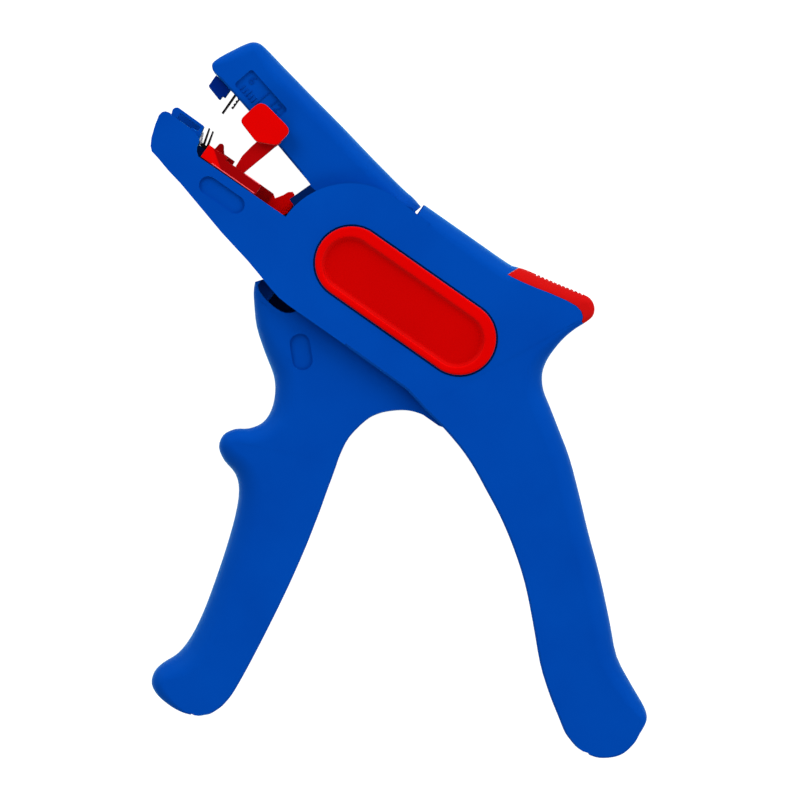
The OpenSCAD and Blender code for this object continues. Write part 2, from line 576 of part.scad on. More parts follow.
// Lower blades: slanted leaves given by foot and tip
leaf_foot_shares = [[-0.916, 0.235], [-0.908, 0.31], [-0.884, 0.355], [-0.874, 0.3], [-0.828, 0.3],
    [-0.828, 0.2], [-0.874, 0.2]];
leaf_shares = [[[-0.911, 0.25], [-0.936, 0.5]], [[-0.897, 0.28], [-0.92, 0.69]],
    [[-0.882, 0.3], [-0.903, 0.68]]];
module leaf(foot, tip) let (d = unit(tip - foot), n = [-d[1], d[0]] * leaf_t / 2)
    polygon([foot - n, tip - n, tip + d * leaf_t / 2, tip + n, foot + n]);
module lower_blades() color(steel) difference() {
    mid_slab(blade_w / 2) {
        for (s = leaf_shares) leaf(on_jaw(s[0]), on_jaw(s[1]));
        polygon(points(leaf_foot_shares, jaw_len, jaw_drop));
    }
    carriage_pin(rivet_r + pin_play, over);
}
module lower_blade_pin() color(steel) carriage_pin(rivet_r, 0);

// Drawbar: a front plate on the carriage, a web and a fork over the roller
drive_at = trigger_at - [drive_back, drive_low];
fork_wall = 2.2;
fork_low = 3.4;
fork_half = roller_r + slot_play + fork_wall;
fork_high = 3.2;
web_back = 16;
plate_shares = [[-0.344, -0.84], [-0.344, -0.52], [-0.38, -0.46], [-0.66, -0.46], [-0.66, -0.08],
    [-0.36, -0.08]];
web_front = -0.25;
hook_share = [-0.325, -0.7];
hook_at = on_jaw(hook_share);
module drawbar_outline() difference() {
    polygon(concat(points(plate_shares, jaw_len, jaw_drop), [[web_front * jaw_len, bar_h / 2 - bar_low],
        [web_back, bar_h / 2 - bar_low], [drive_at[0], drive_at[1] + 2 * roller_r],
        [drive_at[0] + fork_half, drive_at[1] + fork_high], [drive_at[0] + fork_half, drive_at[1] - fork_low],
        [drive_at[0] - fork_half, drive_at[1] - fork_low], [web_back - roller_r / 2, -bar_low - bar_h / 2],
        [web_front * jaw_len - roller_r, -bar_low - bar_h / 2]]));
    translate(drive_at) {
        circle(r = roller_r + slot_play);
        translate([-roller_r - slot_play, -drive_low]) square([2 * (roller_r + slot_play), drive_low]);
    }
    translate(hook_at) circle(r = return_wire + pin_play);
}
module drawbar() color(steel) difference() {
    mid_slab(bar_t / 2) drawbar_outline();
    for (s = bar_rivet_shares) rod(on_jaw(s), rivet_r + pin_play, core_half);
    rod(cross_at, cross_pin_r + pin_play, core_half);
}
module drawbar_rivets() color(steel) for (s = bar_rivet_shares) rod(on_jaw(s), rivet_r, core_half);
pin_past = 0.7;
module cross_pin() color(steel) rod(cross_at, cross_pin_r, strip_far + pin_past);

// Length stop: foot, arm and knob in shares of the jaw's length and height
arm_shares = [[-0.724, 0.045], [-0.724, 0.135], [-0.71, 0.14], [-0.714, 0.3], [-0.704, 0.45], [-0.69, 0.6],
    [-0.6, 0.7], [-0.61, 0.6], [-0.62, 0.5], [-0.64, 0.325], [-0.66, 0.14], [-0.65, 0.135], [-0.65, 0.045]];
knob_shares = [[-0.822, 0.625], [-0.792, 0.98], [-0.588, 0.885], [-0.606, 0.64], [-0.698, 0.53]];
knob_corners = [1.4, 2.4, 2, 0.7, 0.8];
corner_steps = 4;
knob_back = stop_mid - stop_t / 2;
module length_stop() color(red) {
    slab(knob_back, knob_back + stop_t) polygon(points(arm_shares, jaw_len, jaw_rise));
    slab(knob_back, knob_back + knob_t) polygon(rounded(points(knob_shares, jaw_len, jaw_rise), knob_corners, corner_steps));
}

// Trigger: outline rows in shares of its run, its drop and its edge radius
function trigger_row(s) = [s[0] * trigger_run, s[1] * trigger_drop, s[2] * trigger_run, s[3] * trigger_drop,
    s[4] * grip_r];
trigger_shares = [
    [-0.795, -0.17, 2.05, -0.15, 0.25], [-0.745, -0.19, 2.025, -0.192, 0.42],
    [-0.65, -0.215, 1.875, -0.197, 0.58], [-0.47, -0.256, 1.725, -0.202, 0.75],
    [-0.22, -0.294, 1.575, -0.214, 0.83], [0.03, -0.328, 1.43, -0.236, 0.92],
    [0.165, -0.361, 1.32, -0.26, 0.92], [0.245, -0.4, 1.245, -0.29, 0.92],
    [0.245, -0.436, 1.197, -0.345, 0.8], [0.15, -0.466, 1.226, -0.391, 0.67],
    [0.02, -0.486, 1.268, -0.422, 0.57], [-0.055, -0.514, 1.305, -0.449, 0.5],
    [-0.015, -0.544, 1.336, -0.473, 0.55], [0.13, -0.563, 1.37, -0.498, 0.67],
    [0.33, -0.574, 1.41, -0.527, 0.83], [0.48, -0.602, 1.455, -0.563, 0.92],
    [0.615, -0.656, 1.52, -0.617, 1], [0.75, -0.733, 1.6, -0.695, 1],
    [0.865, -0.811, 1.665, -0.77, 1], [0.965, -0.889, 1.725, -0.85, 1],
    [1.015, -0.956, 1.775, -0.925, 1], [1, -1.005, 1.805, -0.98, 1],
    [0.92, -1.044, 1.815, -1.015, 0.83], [0.895, -1.074, 1.8, -1.045, 0.67],
    [0.955, -1.102, 1.77, -1.064, 0.55], [1.1, -1.116, 1.732, -1.08, 0.4],
    [1.3, -1.119, 1.685, -1.09, 0.25], [1.45, -1.115, 1.645, -1.098, 0.12],
    [1.55, -1.108, 1.61, -1.102, 0.06]];
trigger_steps = 3;
trigger_rows = smooth([for (s = trigger_shares) trigger_row(s)], trigger_steps);
trigger_last = 22 * trigger_steps;
cheek_shares = [[-0.795, -0.17], [-0.75, -0.158], [-0.65, -0.13], [0, -0.115], [0.75, -0.09], [1.1, 0.02],
    [1.6, 0.04], [2.1, 0.06], [2.1, -0.12], [2.095, -0.194], [2, -0.2], [0, -0.2], [-0.6, -0.2]];
scoop_shares = [[-0.745, -0.12], [-0.745, -0.173], [-0.7, -0.181], [-0.615, -0.1875], [-0.525, -0.191],
    [-0.435, -0.193], [-0.345, -0.1925], [-0.28, -0.189], [-0.23, -0.182], [-0.195, -0.173], [-0.18, -0.12]];
dimple_share = [0.14, -0.244];
dimple_run = 3.9;
dimple_r = 2.45;
dimple_turn = 46;
boss_top = pivot_rise + boss_r + over;
module trigger_cavity() polygon(concat([[trigger_rows[2 * trigger_steps][0] + wall_t, boss_top]],
    inset_rail(trigger_rows, wall_t, 2 * trigger_steps, trigger_last),
    outset_back(trigger_rows, trigger_steps, trigger_last),
    [[pivot_gap + boss_r + 2 * over, boss_top]]));
module trigger_handle() color(blue) difference() {
    union() {
        moulded(trigger_rows, jaw_low, jaw_high);
        cheeks() {
            polygon(points(cheek_shares, trigger_run, trigger_drop));
            translate(trigger_at) circle(r = boss_r);
        }
    }
    mid_slab(cheek_half) trigger_cavity();
    rod(trigger_at, pin_r + pin_play, mid_z);
    rod(drive_at, drive_pin_r + pin_play, mid_z);
    rod(link_at, link_pin_r + pin_play, mid_z);
    slab(jaw_high - cheek_t - over, body_w) polygon(points(scoop_shares, trigger_run, trigger_drop));
    translate([dimple_share[0] * trigger_run, dimple_share[1] * trigger_drop, jaw_high - panel_depth])
        rotate(-dimple_turn) linear_extrude(height = over + panel_depth)
            oval(-dimple_run / 2, dimple_run / 2, dimple_r);
}
module trigger_bush() color(steel) bush(trigger_at);
module drive_pin() color(steel) rod(drive_at, drive_pin_r, inner_half);
module drive_roller() color(steel) difference() {
    rod(drive_at, roller_r, bar_t / 2 + slot_play);
    rod(drive_at, drive_pin_r + pin_play, mid_z);
}
module link_pin() color(steel) rod(link_at, link_pin_r, inner_half);

// Springs: round wire swept along its route
function tube_ring(p, t, r, sides) = let (
        side = abs(t[2]) > norm([t[0], t[1]]) ? unit(cross(t, [0, 1, 0])) : unit(cross(t, [0, 0, 1])),
        up = cross(side, t))
    [for (k = [0:sides - 1]) let (a = 360 * k / sides) p + r * (side * cos(a) + up * sin(a))];
module wire(route, r, sides) {
    last = len(route) - 1;
    rings = [for (i = [0:last])
        tube_ring(route[i], unit(route[min(i + 1, last)] - route[max(i - 1, 0)]), r, sides)];
    polyhedron(points = [for (ring = rings) each ring], faces = concat(
        [for (i = [0:last - 1], k = [0:sides - 1])
            let (q = (k + 1) % sides, e = i * sides, f = (i + 1) * sides)
            each [[e + k, f + q, f + k], [e + k, e + q, f + q]]],
        [for (k = [1:sides - 2]) [0, k + 1, k]],
        [for (k = [1:sides - 2]) [last * sides, last * sides + k, last * sides + k + 1]]), convexity = 8);
}
wire_sides = 6;
turn_rings = 12;
return_rings = 8;
spring_room = cheek_half - link_t / 2 - slot_play - side_play;
handle_wire = (spring_room - handle_turns * turn_gap) / (handle_turns + 1);
spring_low = mid_z + link_t / 2 + slot_play + handle_wire / 2;
coil_r = bush_r + handle_wire / 2 + slot_play;
coil_pitch = handle_wire + turn_gap;
spring_leg = 17;
leg_steps = 3;
handle_route = concat(
    [for (k = [leg_steps:-1:1]) [trigger_at[0] - coil_r, trigger_at[1] - spring_leg * k / leg_steps,
        spring_low]],
    [for (k = [0:handle_turns * turn_rings]) let (a = 180 - 360 * k / turn_rings)
        [trigger_at[0] + coil_r * cos(a), trigger_at[1] + coil_r * sin(a),
            spring_low + coil_pitch * k / turn_rings]]);
module handle_spring() color(steel) wire(handle_route, handle_wire / 2, wire_sides);
return_steps = return_turns * return_rings + 2;
return_gap = 0.35;
coil_from = post_at[0] + post_r + return_wire;
coil_to = hook_at[0] - 3 * return_wire;
return_mid_r = return_r - return_wire / 2;
return_route = concat([[post_at[0], post_at[1] + post_r + return_gap, mid_z]],
    [for (k = [0:return_steps]) let (a = 360 * k / return_rings)
        [coil_from + (coil_to - coil_from) * k / return_steps, hook_at[1] + return_mid_r * cos(a),
            mid_z + return_mid_r * sin(a)]],
    [[hook_at[0] - return_wire, hook_at[1], mid_z + bar_t / 2 + return_wire]]);
module return_spring() color(steel) wire(return_route, return_wire / 2, wire_sides);

body_frame();
front_oval_plate();
rear_oval_plate();
thumb_rest();
jaw_pin();
trigger_pin();
lower_clamp_pad();
spring_post();
handle_spring();
return_spring();
upper_jaw();
upper_clamp_pad();
jaw_bush();
heel_pin();
closing_link();
upper_blade_holder();
upper_blades();
upper_blade_pin();
upper_pull_strips();
holder_rivet();
lower_carriage();
lower_blades();
lower_blade_pin();
drawbar();
drawbar_rivets();
cross_pin();
length_stop();
trigger_handle();
trigger_bush();
drive_pin();
drive_roller();
link_pin();
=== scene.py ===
"""Dress an automatic wire stripper that lies on its side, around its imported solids."""

from __future__ import annotations

import json
import logging
import math
from collections.abc import Callable
from dataclasses import dataclass
from enum import Enum

import bmesh
import bpy
import numpy as np
from mathutils import Matrix, Vector

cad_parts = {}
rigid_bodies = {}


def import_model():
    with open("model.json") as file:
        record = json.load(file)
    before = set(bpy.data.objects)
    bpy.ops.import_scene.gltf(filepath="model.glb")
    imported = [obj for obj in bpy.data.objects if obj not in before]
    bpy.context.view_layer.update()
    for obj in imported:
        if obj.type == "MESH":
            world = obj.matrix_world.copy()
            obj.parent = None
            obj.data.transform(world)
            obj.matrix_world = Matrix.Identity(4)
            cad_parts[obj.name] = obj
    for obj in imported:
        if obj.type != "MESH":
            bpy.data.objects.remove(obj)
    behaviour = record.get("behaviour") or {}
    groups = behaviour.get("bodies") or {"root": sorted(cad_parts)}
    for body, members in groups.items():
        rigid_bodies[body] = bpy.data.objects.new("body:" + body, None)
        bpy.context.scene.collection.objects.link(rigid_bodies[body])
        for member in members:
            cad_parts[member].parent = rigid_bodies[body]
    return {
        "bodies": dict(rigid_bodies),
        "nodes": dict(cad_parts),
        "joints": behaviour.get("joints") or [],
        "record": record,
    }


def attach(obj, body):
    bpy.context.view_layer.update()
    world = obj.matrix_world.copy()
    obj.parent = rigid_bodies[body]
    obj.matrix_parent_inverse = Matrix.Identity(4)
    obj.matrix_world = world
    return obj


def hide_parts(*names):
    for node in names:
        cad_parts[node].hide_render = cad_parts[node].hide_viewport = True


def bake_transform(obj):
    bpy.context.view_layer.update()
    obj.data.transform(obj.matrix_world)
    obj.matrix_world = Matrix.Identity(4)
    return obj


LOG = logging.getLogger("wire_stripper")
MM = 0.001
SHARP_ANGLE = 32.0
LOOSE_GAP = 0.002 * MM
TINY_GAP = 0.001 * MM
PHOTO_TURN = math.radians(35)
PHOTO_SPAN = 192 * MM
PHOTO_MIDDLE = (28.8 * MM, -20.25 * MM)

Triple = tuple[float, float, float]


class Slot(Enum):
    """The record's material slots."""

    BLUE = "blue_plastic"
    NAVY = "navy_plastic"
    RED = "red_plastic"
    STEEL = "steel"
    BLACK = "black_steel"


@dataclass(frozen=True)
class Plastic:
    """A moulded plastic.

    Attributes:
        name: the material's name.
        colour: its colour.
        shade: a second colour, mixed in by soft clouds.
        tint: the colour of its shine and of its sheen.
        roughness: how dull the shine is.
        grain: the strength of its fine pebbles.
        shine: the level of its shine.
        fuzz: the weight of its sheen.
    """

    name: str
    colour: Triple
    shade: Triple
    tint: Triple
    roughness: float
    grain: float
    shine: float = 0.03
    fuzz: float = 0.6


@dataclass(frozen=True)
class ShadeBanded(Plastic):
    """A plastic with painted shade: it is darker between two soft steps.

    Attributes:
        shade_band: each step's start, end and slant; the first two are in millimetres.
        inner: the colour between the steps, which is painted shade.
    """

    shade_band: tuple[Triple, ...] = ()
    inner: Triple = (0.0, 0.0, 0.0)


@dataclass(frozen=True)
class Metal:
    """A ground steel.

    Attributes:
        name: the material's name.
        colour: its colour.
        shade: a second colour, mixed in along the grinding lines.
        roughness: how dull the shine is.
        brushing: the strength of the grinding lines.
    """

    name: str
    colour: Triple
    shade: Triple
    roughness: float
    brushing: float


Finish = Plastic | Metal

SHEEN_ROUGHNESS = 0.4
BLUE_TINT = (0.06, 0.6, 1.0)
RED_TINT = (1.0, 0.12, 0.1)
BLUE = Plastic("blue_plastic", (0.0, 0.052, 0.355), (0.0, 0.045, 0.325), BLUE_TINT, 0.42, 0.06)
# Painted shade: the raised scale marks are a darker blue than the jaw.
SHADED_MARK_BLUE = Plastic("shaded_mark_blue_plastic", (0.0, 0.034, 0.27), (0.0, 0.03, 0.25), BLUE_TINT,
                    0.42, 0.06)
# Painted shade: a darker blue for the upper clamp pad and the bar behind it.
SHADE_BLUE = Plastic("painted_shade_blue_plastic", (0.0, 0.018, 0.22), (0.0, 0.014, 0.19), BLUE_TINT,
                    0.45, 0.06)
# NAVY is painted shade wherever it is used: the ring round the front plate, the sheet over the
# jaw's lug and the shoe under the lower blades.
NAVY = Plastic("navy_plastic", (0.0, 0.012, 0.09), (0.0, 0.008, 0.06), (0.1, 0.5, 1.0), 0.45, 0.1)
RED = Plastic("red_plastic", (0.63, 0.0, 0.0), (0.58, 0.0, 0.0), RED_TINT, 0.42, 0.06)
REST_RED = Plastic("rest_red_plastic", (0.5, 0.004, 0.004), (0.46, 0.004, 0.004), RED_TINT,
                   0.5, 0.06, fuzz=0.3)
# Painted shade: the front plate's sunk panel is a darker red than its rim; its rougher grain is
# its own.
SHADED_PANEL_RED = Plastic("shaded_panel_red_plastic", (0.5, 0.0, 0.0), (0.46, 0.0, 0.0), RED_TINT, 0.5, 0.1)
# Painted shade: a darker red for the length stop's arm below its knob.
SHADE_RED = Plastic("painted_shade_red_plastic", (0.36, 0.0, 0.001), (0.3, 0.0, 0.0), (1.0, 0.3, 0.25),
                   0.36, 0.08)
# Painted highlight: the pale red of the beads along the rail's edges.
HIGHLIGHT_RED = Plastic("painted_highlight_red_plastic", (0.8, 0.09, 0.11), (0.7, 0.05, 0.07), (1.0, 0.5, 0.5),
                   0.3, 0.04)
# Painted shade: the carriage's red is darker along the rail, between the two steps.
SHADE_BANDED_RED = ShadeBanded("shade_banded_red_plastic", (0.66, 0.0, 0.0), (0.6, 0.0, 0.0), (1.0, 0.2, 0.15),
                    0.4, 0.06, shade_band=((-37.9, -37.1, 1.4), (-24.6, -23.8, 0.0)),
                    inner=(0.26, 0.0, 0.001))
STEEL = Metal("ground_steel", (0.62, 0.63, 0.65), (0.38, 0.39, 0.41), 0.28, 0.5)
# Painted highlight: a brighter copy of the steel for the lower blades' front leaf.
HIGHLIGHT_STEEL = Metal("painted_highlight_steel", (0.92, 0.93, 0.94), (0.8, 0.81, 0.82), 0.42, 0.3)
# Black steel is the upper blades' own colour; on the lower blades' back leaves and foot it is
# painted shade.
BLACK_STEEL = Metal("black_steel", (0.03, 0.028, 0.028), (0.012, 0.011, 0.011), 0.4, 0.4)
PLASTICS = (BLUE, NAVY, SHADED_MARK_BLUE, SHADE_BLUE, RED, REST_RED, SHADED_PANEL_RED, SHADE_RED, HIGHLIGHT_RED,
            SHADE_BANDED_RED)
METALS = (STEEL, HIGHLIGHT_STEEL, BLACK_STEEL)


class Nodes:
    """A short way to add, set and join shader nodes in one tree."""

    def __init__(self, tree: bpy.types.NodeTree) -> None:
        """Keep the tree.

        Args:
            tree: the node tree that the nodes are added to.
        """
        self.tree = tree

    def feed(self, node: bpy.types.Node, inputs: dict[str | int, object]) -> None:
        """Set some of a node's inputs.

        Args:
            node: the node.
            inputs: a plain value, or the output socket to link, by the input's name or number.
        """
        for key, value in inputs.items():
            if isinstance(value, bpy.types.NodeSocket):
                self.tree.links.new(value, node.inputs[key])
            else:
                node.inputs[key].default_value = value

    def add(self, kind: str, inputs: dict[str | int, object] | None = None,
            **values: object) -> bpy.types.Node:
        """Add a node, set its attributes and feed its inputs.

        Args:
            kind: the node's type name.
            inputs: what its inputs are set or linked to.
            **values: attributes by name.

        Returns:
            The new node.
        """
        node = self.tree.nodes.new(kind)
        for name, value in values.items():
            setattr(node, name, value)
        self.feed(node, inputs or {})
        return node

    def noise(self, place: bpy.types.NodeSocket, scale: float,
              detail: float) -> bpy.types.NodeSocket:
        """Add a noise.

        Args:
            place: the coordinates it is read at.
            scale: its scale.
            detail: its finer layers.

        Returns:
            The noise's value.
        """
        node = self.add("ShaderNodeTexNoise", {"Vector": place, "Scale": scale, "Detail": detail})
        return node.outputs["Fac"]


class GrainGroup(Nodes):
    """A shared group that gives a surface its colour, its roughness and a bumped normal."""

    def __init__(self, name: str, strength: str) -> None:
        """Make the group with its named inputs and outputs.

        Args:
            name: the group's name.
            strength: the name of the input that scales the bump.
        """
        super().__init__(bpy.data.node_groups.new(name, "ShaderNodeTree"))
        sockets = [("Colour", "INPUT", "NodeSocketColor"), ("Shade", "INPUT", "NodeSocketColor"),
                   ("Roughness", "INPUT", "NodeSocketFloat"),
                   (strength, "INPUT", "NodeSocketFloat"),
                   ("Colour", "OUTPUT", "NodeSocketColor"),
                   ("Roughness", "OUTPUT", "NodeSocketFloat"),
                   ("Normal", "OUTPUT", "NodeSocketVector")]
        for label, side, kind in sockets:
            self.tree.interface.new_socket(label, in_out=side, socket_type=kind)
        self.strength = strength
        self.place = self.add("ShaderNodeTexCoord").outputs["Object"]

    def close(self, tone: bpy.types.NodeSocket, rub: bpy.types.NodeSocket,
              reach: tuple[float, float], height: bpy.types.NodeSocket,
              depth: float) -> bpy.types.NodeTree:
        """Join the noises to the group's outputs.

        Args:
            tone: the share of the second colour.
            rub: the noise that varies the roughness.
            reach: what that noise adds to the roughness at least and at most.
            height: the noise that the bump takes as its height.
            depth: the bump's distance in metres.

        Returns:
            The node group.
        """
        given = self.add("NodeGroupInput").outputs
        mix = self.add("ShaderNodeMix", data_type="RGBA")
        self.feed(mix, {"Factor": tone, "A": given["Colour"], "B": given["Shade"]})
        rough = self.add("ShaderNodeMapRange", {"Value": rub, "To Min": reach[0],
                                                "To Max": reach[1]})
        total = self.add("ShaderNodeMath", {0: given["Roughness"], 1: rough.outputs["Result"]},
                         operation="ADD")
        bump = self.add("ShaderNodeBump", {"Distance": depth, "Strength": given[self.strength],
                                           "Height": height})
        self.add("NodeGroupOutput", {"Colour": mix.outputs["Result"],
                                     "Roughness": total.outputs["Value"],
                                     "Normal": bump.outputs["Normal"]})
        return self.tree


def moulding_group() -> bpy.types.NodeTree:
    """Build the shared group for moulded plastic.

    It mixes two colours by soft cloudy noise, varies the roughness with fine rubbing marks, and
    turns a fine pebble noise into a bumped normal.

    Returns:
        The node group.
    """
    group = GrainGroup("moulded_grain", "Grain")
    cloud = group.noise(group.place, scale=45.0, detail=3.0)
    tone = group.add("ShaderNodeMapRange", {"Value": cloud, "From Min": 0.35, "From Max": 0.7})
    rub = group.noise(group.place, scale=320.0, detail=5.0)
    pebble = group.noise(group.place, scale=3200.0, detail=2.0)
    return group.close(tone.outputs["Result"], rub, (-0.06, 0.08), pebble, depth=0.00006)


def grinding_group() -> bpy.types.NodeTree:
    """Build the shared group for ground steel.

    Noise stretched along one direction gives the grinding lines, which vary the colour, the
    roughness and a bumped normal.

    Returns:
        The node group.
    """
    group = GrainGroup("ground_lines", "Brushing")
    stretch = group.add("ShaderNodeMapping", {"Vector": group.place, "Scale": (1.0, 8.0, 8.0)})
    lines = group.noise(stretch.outputs["Vector"], scale=500.0, detail=4.0)
    return group.close(lines, lines, (-0.08, 0.12), lines, depth=0.00003)


class Finishes:
    """The materials, each made once from its finish and its shared group."""

    def __init__(self) -> None:
        """Make the shared groups and every material."""
        self.moulding = moulding_group()
        self.grinding = grinding_group()
        self.made = {finish.name: self.plastic(finish) for finish in PLASTICS}
        self.made.update({finish.name: self.metal(finish) for finish in METALS})

    def __getitem__(self, finish: Finish) -> bpy.types.Material:
        """Give the material of a finish."""
        return self.made[finish.name]

    def dress(self, finish: Finish, group: bpy.types.NodeTree,
              strength: dict[str, float]) -> tuple[bpy.types.Material, bpy.types.Node]:
        """Make a material whose colour, roughness and normal come from a group.

        Args:
            finish: the finish.
            group: the shared node group.
            strength: the bump's strength, by the name of the group's input.

        Returns:
            The material and its Principled node.
        """
        material = bpy.data.materials.new(finish.name)
        material.use_nodes = True
        shader = material.node_tree.nodes["Principled BSDF"]
        nodes = Nodes(material.node_tree)
        grouped = nodes.add("ShaderNodeGroup", {
            "Colour": (*finish.colour, 1.0), "Shade": (*finish.shade, 1.0),
            "Roughness": finish.roughness, **strength}, node_tree=group).outputs
        nodes.feed(shader, {"Base Color": grouped["Colour"], "Roughness": grouped["Roughness"],
                            "Normal": grouped["Normal"]})
        return material, shader

    def plastic(self, finish: Plastic) -> bpy.types.Material:
        """Make a plastic's material.

        Args:
            finish: the plastic.

        Returns:
            The material.
        """
        material, shader = self.dress(finish, self.moulding, {"Grain": finish.grain})
        nodes = Nodes(material.node_tree)
        nodes.feed(shader, {
            "Specular IOR Level": finish.shine, "Specular Tint": (*finish.tint, 1.0),
            "Sheen Weight": finish.fuzz, "Sheen Roughness": SHEEN_ROUGHNESS,
            "Sheen Tint": (*finish.tint, 1.0)})
        if isinstance(finish, ShadeBanded):
            self.shade_band(nodes, shader, finish)
        return material

    def shade_band(self, nodes: Nodes, shader: bpy.types.Node, finish: ShadeBanded) -> None:
        """Paint shade on a plastic: darken it between its two steps.

        The mask is one smooth step along X minus the other, and it mixes the group's colour with
        the colour of the painted shade.

        Args:
            nodes: the material's nodes.
            shader: its Principled node.
            finish: the banded plastic.
        """
        place = nodes.add("ShaderNodeTexCoord").outputs["Object"]
        split = nodes.add("ShaderNodeSeparateXYZ", {"Vector": place}).outputs
        steps = []
        for low, high, slant in finish.shade_band:
            along = nodes.add("ShaderNodeMath", {0: split["Y"], 1: slant, 2: split["X"]},
                              operation="MULTIPLY_ADD")
            step = nodes.add("ShaderNodeMapRange", {
                "Value": along.outputs["Value"], "From Min": low * MM, "From Max": high * MM},
                interpolation_type="SMOOTHSTEP")
            steps.append(step.outputs["Result"])
        mask = nodes.add("ShaderNodeMath", dict(enumerate(steps)), operation="SUBTRACT")
        source = shader.inputs["Base Color"].links[0].from_socket
        mix = nodes.add("ShaderNodeMix", data_type="RGBA")
        nodes.feed(mix, {"Factor": mask.outputs["Value"], "A": source,
                         "B": (*finish.inner, 1.0)})
        nodes.feed(shader, {"Base Color": mix.outputs["Result"]})

    def metal(self, finish: Metal) -> bpy.types.Material:
        """Make a metal's material.

        Args:
            finish: the metal.

        Returns:
            The material.
        """
        material, shader = self.dress(finish, self.grinding, {"Brushing": finish.brushing})
        shader.inputs["Metallic"].default_value = 1.0
        return material


def add_object(name: str, data: bpy.types.ID) -> bpy.types.Object:
    """Make an object and put it in the scene.

    Args:
        name: its name.
        data: its mesh, curve, lamp or camera.

    Returns:
        The new object.
    """
    thing = bpy.data.objects.new(name, data)
    bpy.context.scene.collection.objects.link(thing)
    return thing


def read(items: bpy.types.bpy_prop_collection, name: str, width: int = 1,
         kind: type = float) -> np.ndarray:
    """Read one attribute of every face or corner of a mesh.

    Args:
        items: the faces or the corners.
        name: the attribute.
        width: how many numbers it has.
        kind: the type of its numbers.

    Returns:
        An array with one row, or one number, for each item.
    """
    values = np.empty(len(items) * width, dtype=kind)
    items.foreach_get(name, values)
    return values.reshape(-1, width) if width > 1 else values


class Model:
    """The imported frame, the finishes, and how a piece joins the object."""

    def __init__(self) -> None:
        """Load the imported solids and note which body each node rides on."""
        self.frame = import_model()
        self.nodes = self.frame["nodes"]
        self.finishes = Finishes()
        bodies = self.frame["record"]["behaviour"]["bodies"]
        self.body_of = {node: body for body, members in bodies.items() for node in members}

    def place(self, piece: bpy.types.Object, body: str, finish: Finish, slot: Slot,
              *nodes: str) -> bpy.types.Object:
        """Give a piece its finish and its body, and hide the nodes that it replaces.

        Args:
            piece: the new object.
            body: the CAD body that it rides on.
            finish: its finish.
            slot: the record's material slot; not used.
            *nodes: the CAD nodes that it stands for.

        Returns:
            The piece.
        """
        piece.data.materials.clear()
        piece.data.materials.append(self.finishes[finish])
        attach(piece, body)
        if nodes:
            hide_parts(*nodes)
        LOG.info("%s rides on %s", piece.name, body)
        return piece

    def stretch(self, piece: bpy.types.Object, bodies: tuple[str, str],
                ends: tuple[Triple, Triple], finish: Finish, slot: Slot, *nodes: str) -> None:
        """Give a piece whose ends lie on two bodies its finish, bake its transform into its
        points, and hide the nodes that it stands for; it rides on neither body.

        Args:
            piece: the new object.
            bodies: the bodies at its two ends; they are only logged.
            ends: the two ends in millimetres; not used.
            finish: its finish.
            slot: the record's material slot; not used.
            *nodes: the CAD nodes that it stands for.
        """
        piece.data.materials.append(self.finishes[finish])
        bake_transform(piece)
        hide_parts(*nodes)
        LOG.info("%s stretches from %s to %s", piece.name, *bodies)

    def repaint(self, piece: bpy.types.Object, finish: Finish,
                choose: Callable[[np.ndarray], np.ndarray]) -> None:
        """Give the chosen faces of a piece a second finish.

        Args:
            piece: the object.
            finish: the second finish.
            choose: takes the faces' centres in millimetres and gives a mask.
        """
        faces = piece.data.polygons
        piece.data.materials.append(self.finishes[finish])
        held = read(faces, "material_index", kind=np.int32)
        held[choose(read(faces, "center", 3) / MM)] = len(piece.data.materials) - 1
        faces.foreach_set("material_index", held)

    def eased(self, node: str, finish: Finish, slot: Slot, width: float = 0.0) -> bpy.types.Object:
        """Copy a node's solid, merge its loose triangles and ease its sharp edges.

        Args:
            node: the CAD node.
            finish: the copy's finish.
            slot: the record's material slot.
            width: the width of the eased edges in metres, or zero for none.

        Returns:
            The copy, which replaces the node.
        """
        mesh = self.nodes[node].data.copy()
        work = bmesh.new()
        work.from_mesh(mesh)
        bmesh.ops.remove_doubles(work, verts=work.verts, dist=LOOSE_GAP)
        bmesh.ops.dissolve_degenerate(work, edges=work.edges, dist=TINY_GAP)
        work.to_mesh(mesh)
        work.free()
        piece = add_object(node + "_eased", mesh)
        soften(piece, width)
        return self.place(piece, self.body_of[node], finish, slot, node)

    def slab(self, name: str, outlines: list | np.ndarray, heights: tuple[float, float],
             body: str, finish: Finish, slot: Slot, *nodes: str, ease: float = 0.0) -> None:
        """Make flat bars of one thickness and place them as one piece.

        Args:
            name: the piece's name.
            outlines: four corners for each bar, in millimetres.
            heights: the lower and the upper height in millimetres.
            body: the CAD body that it rides on.
            finish: its finish.
            slot: the record's material slot.
            *nodes: the CAD nodes that it stands for.
            ease: the width of its eased edges in millimetres; at zero it stays as it is.
        """
        low, high = heights
        piece = flat_bars(name, np.array(outlines) * MM, low * MM, high * MM)
        if ease:
            soften(piece, ease * MM)
        self.place(piece, body, finish, slot, *nodes)


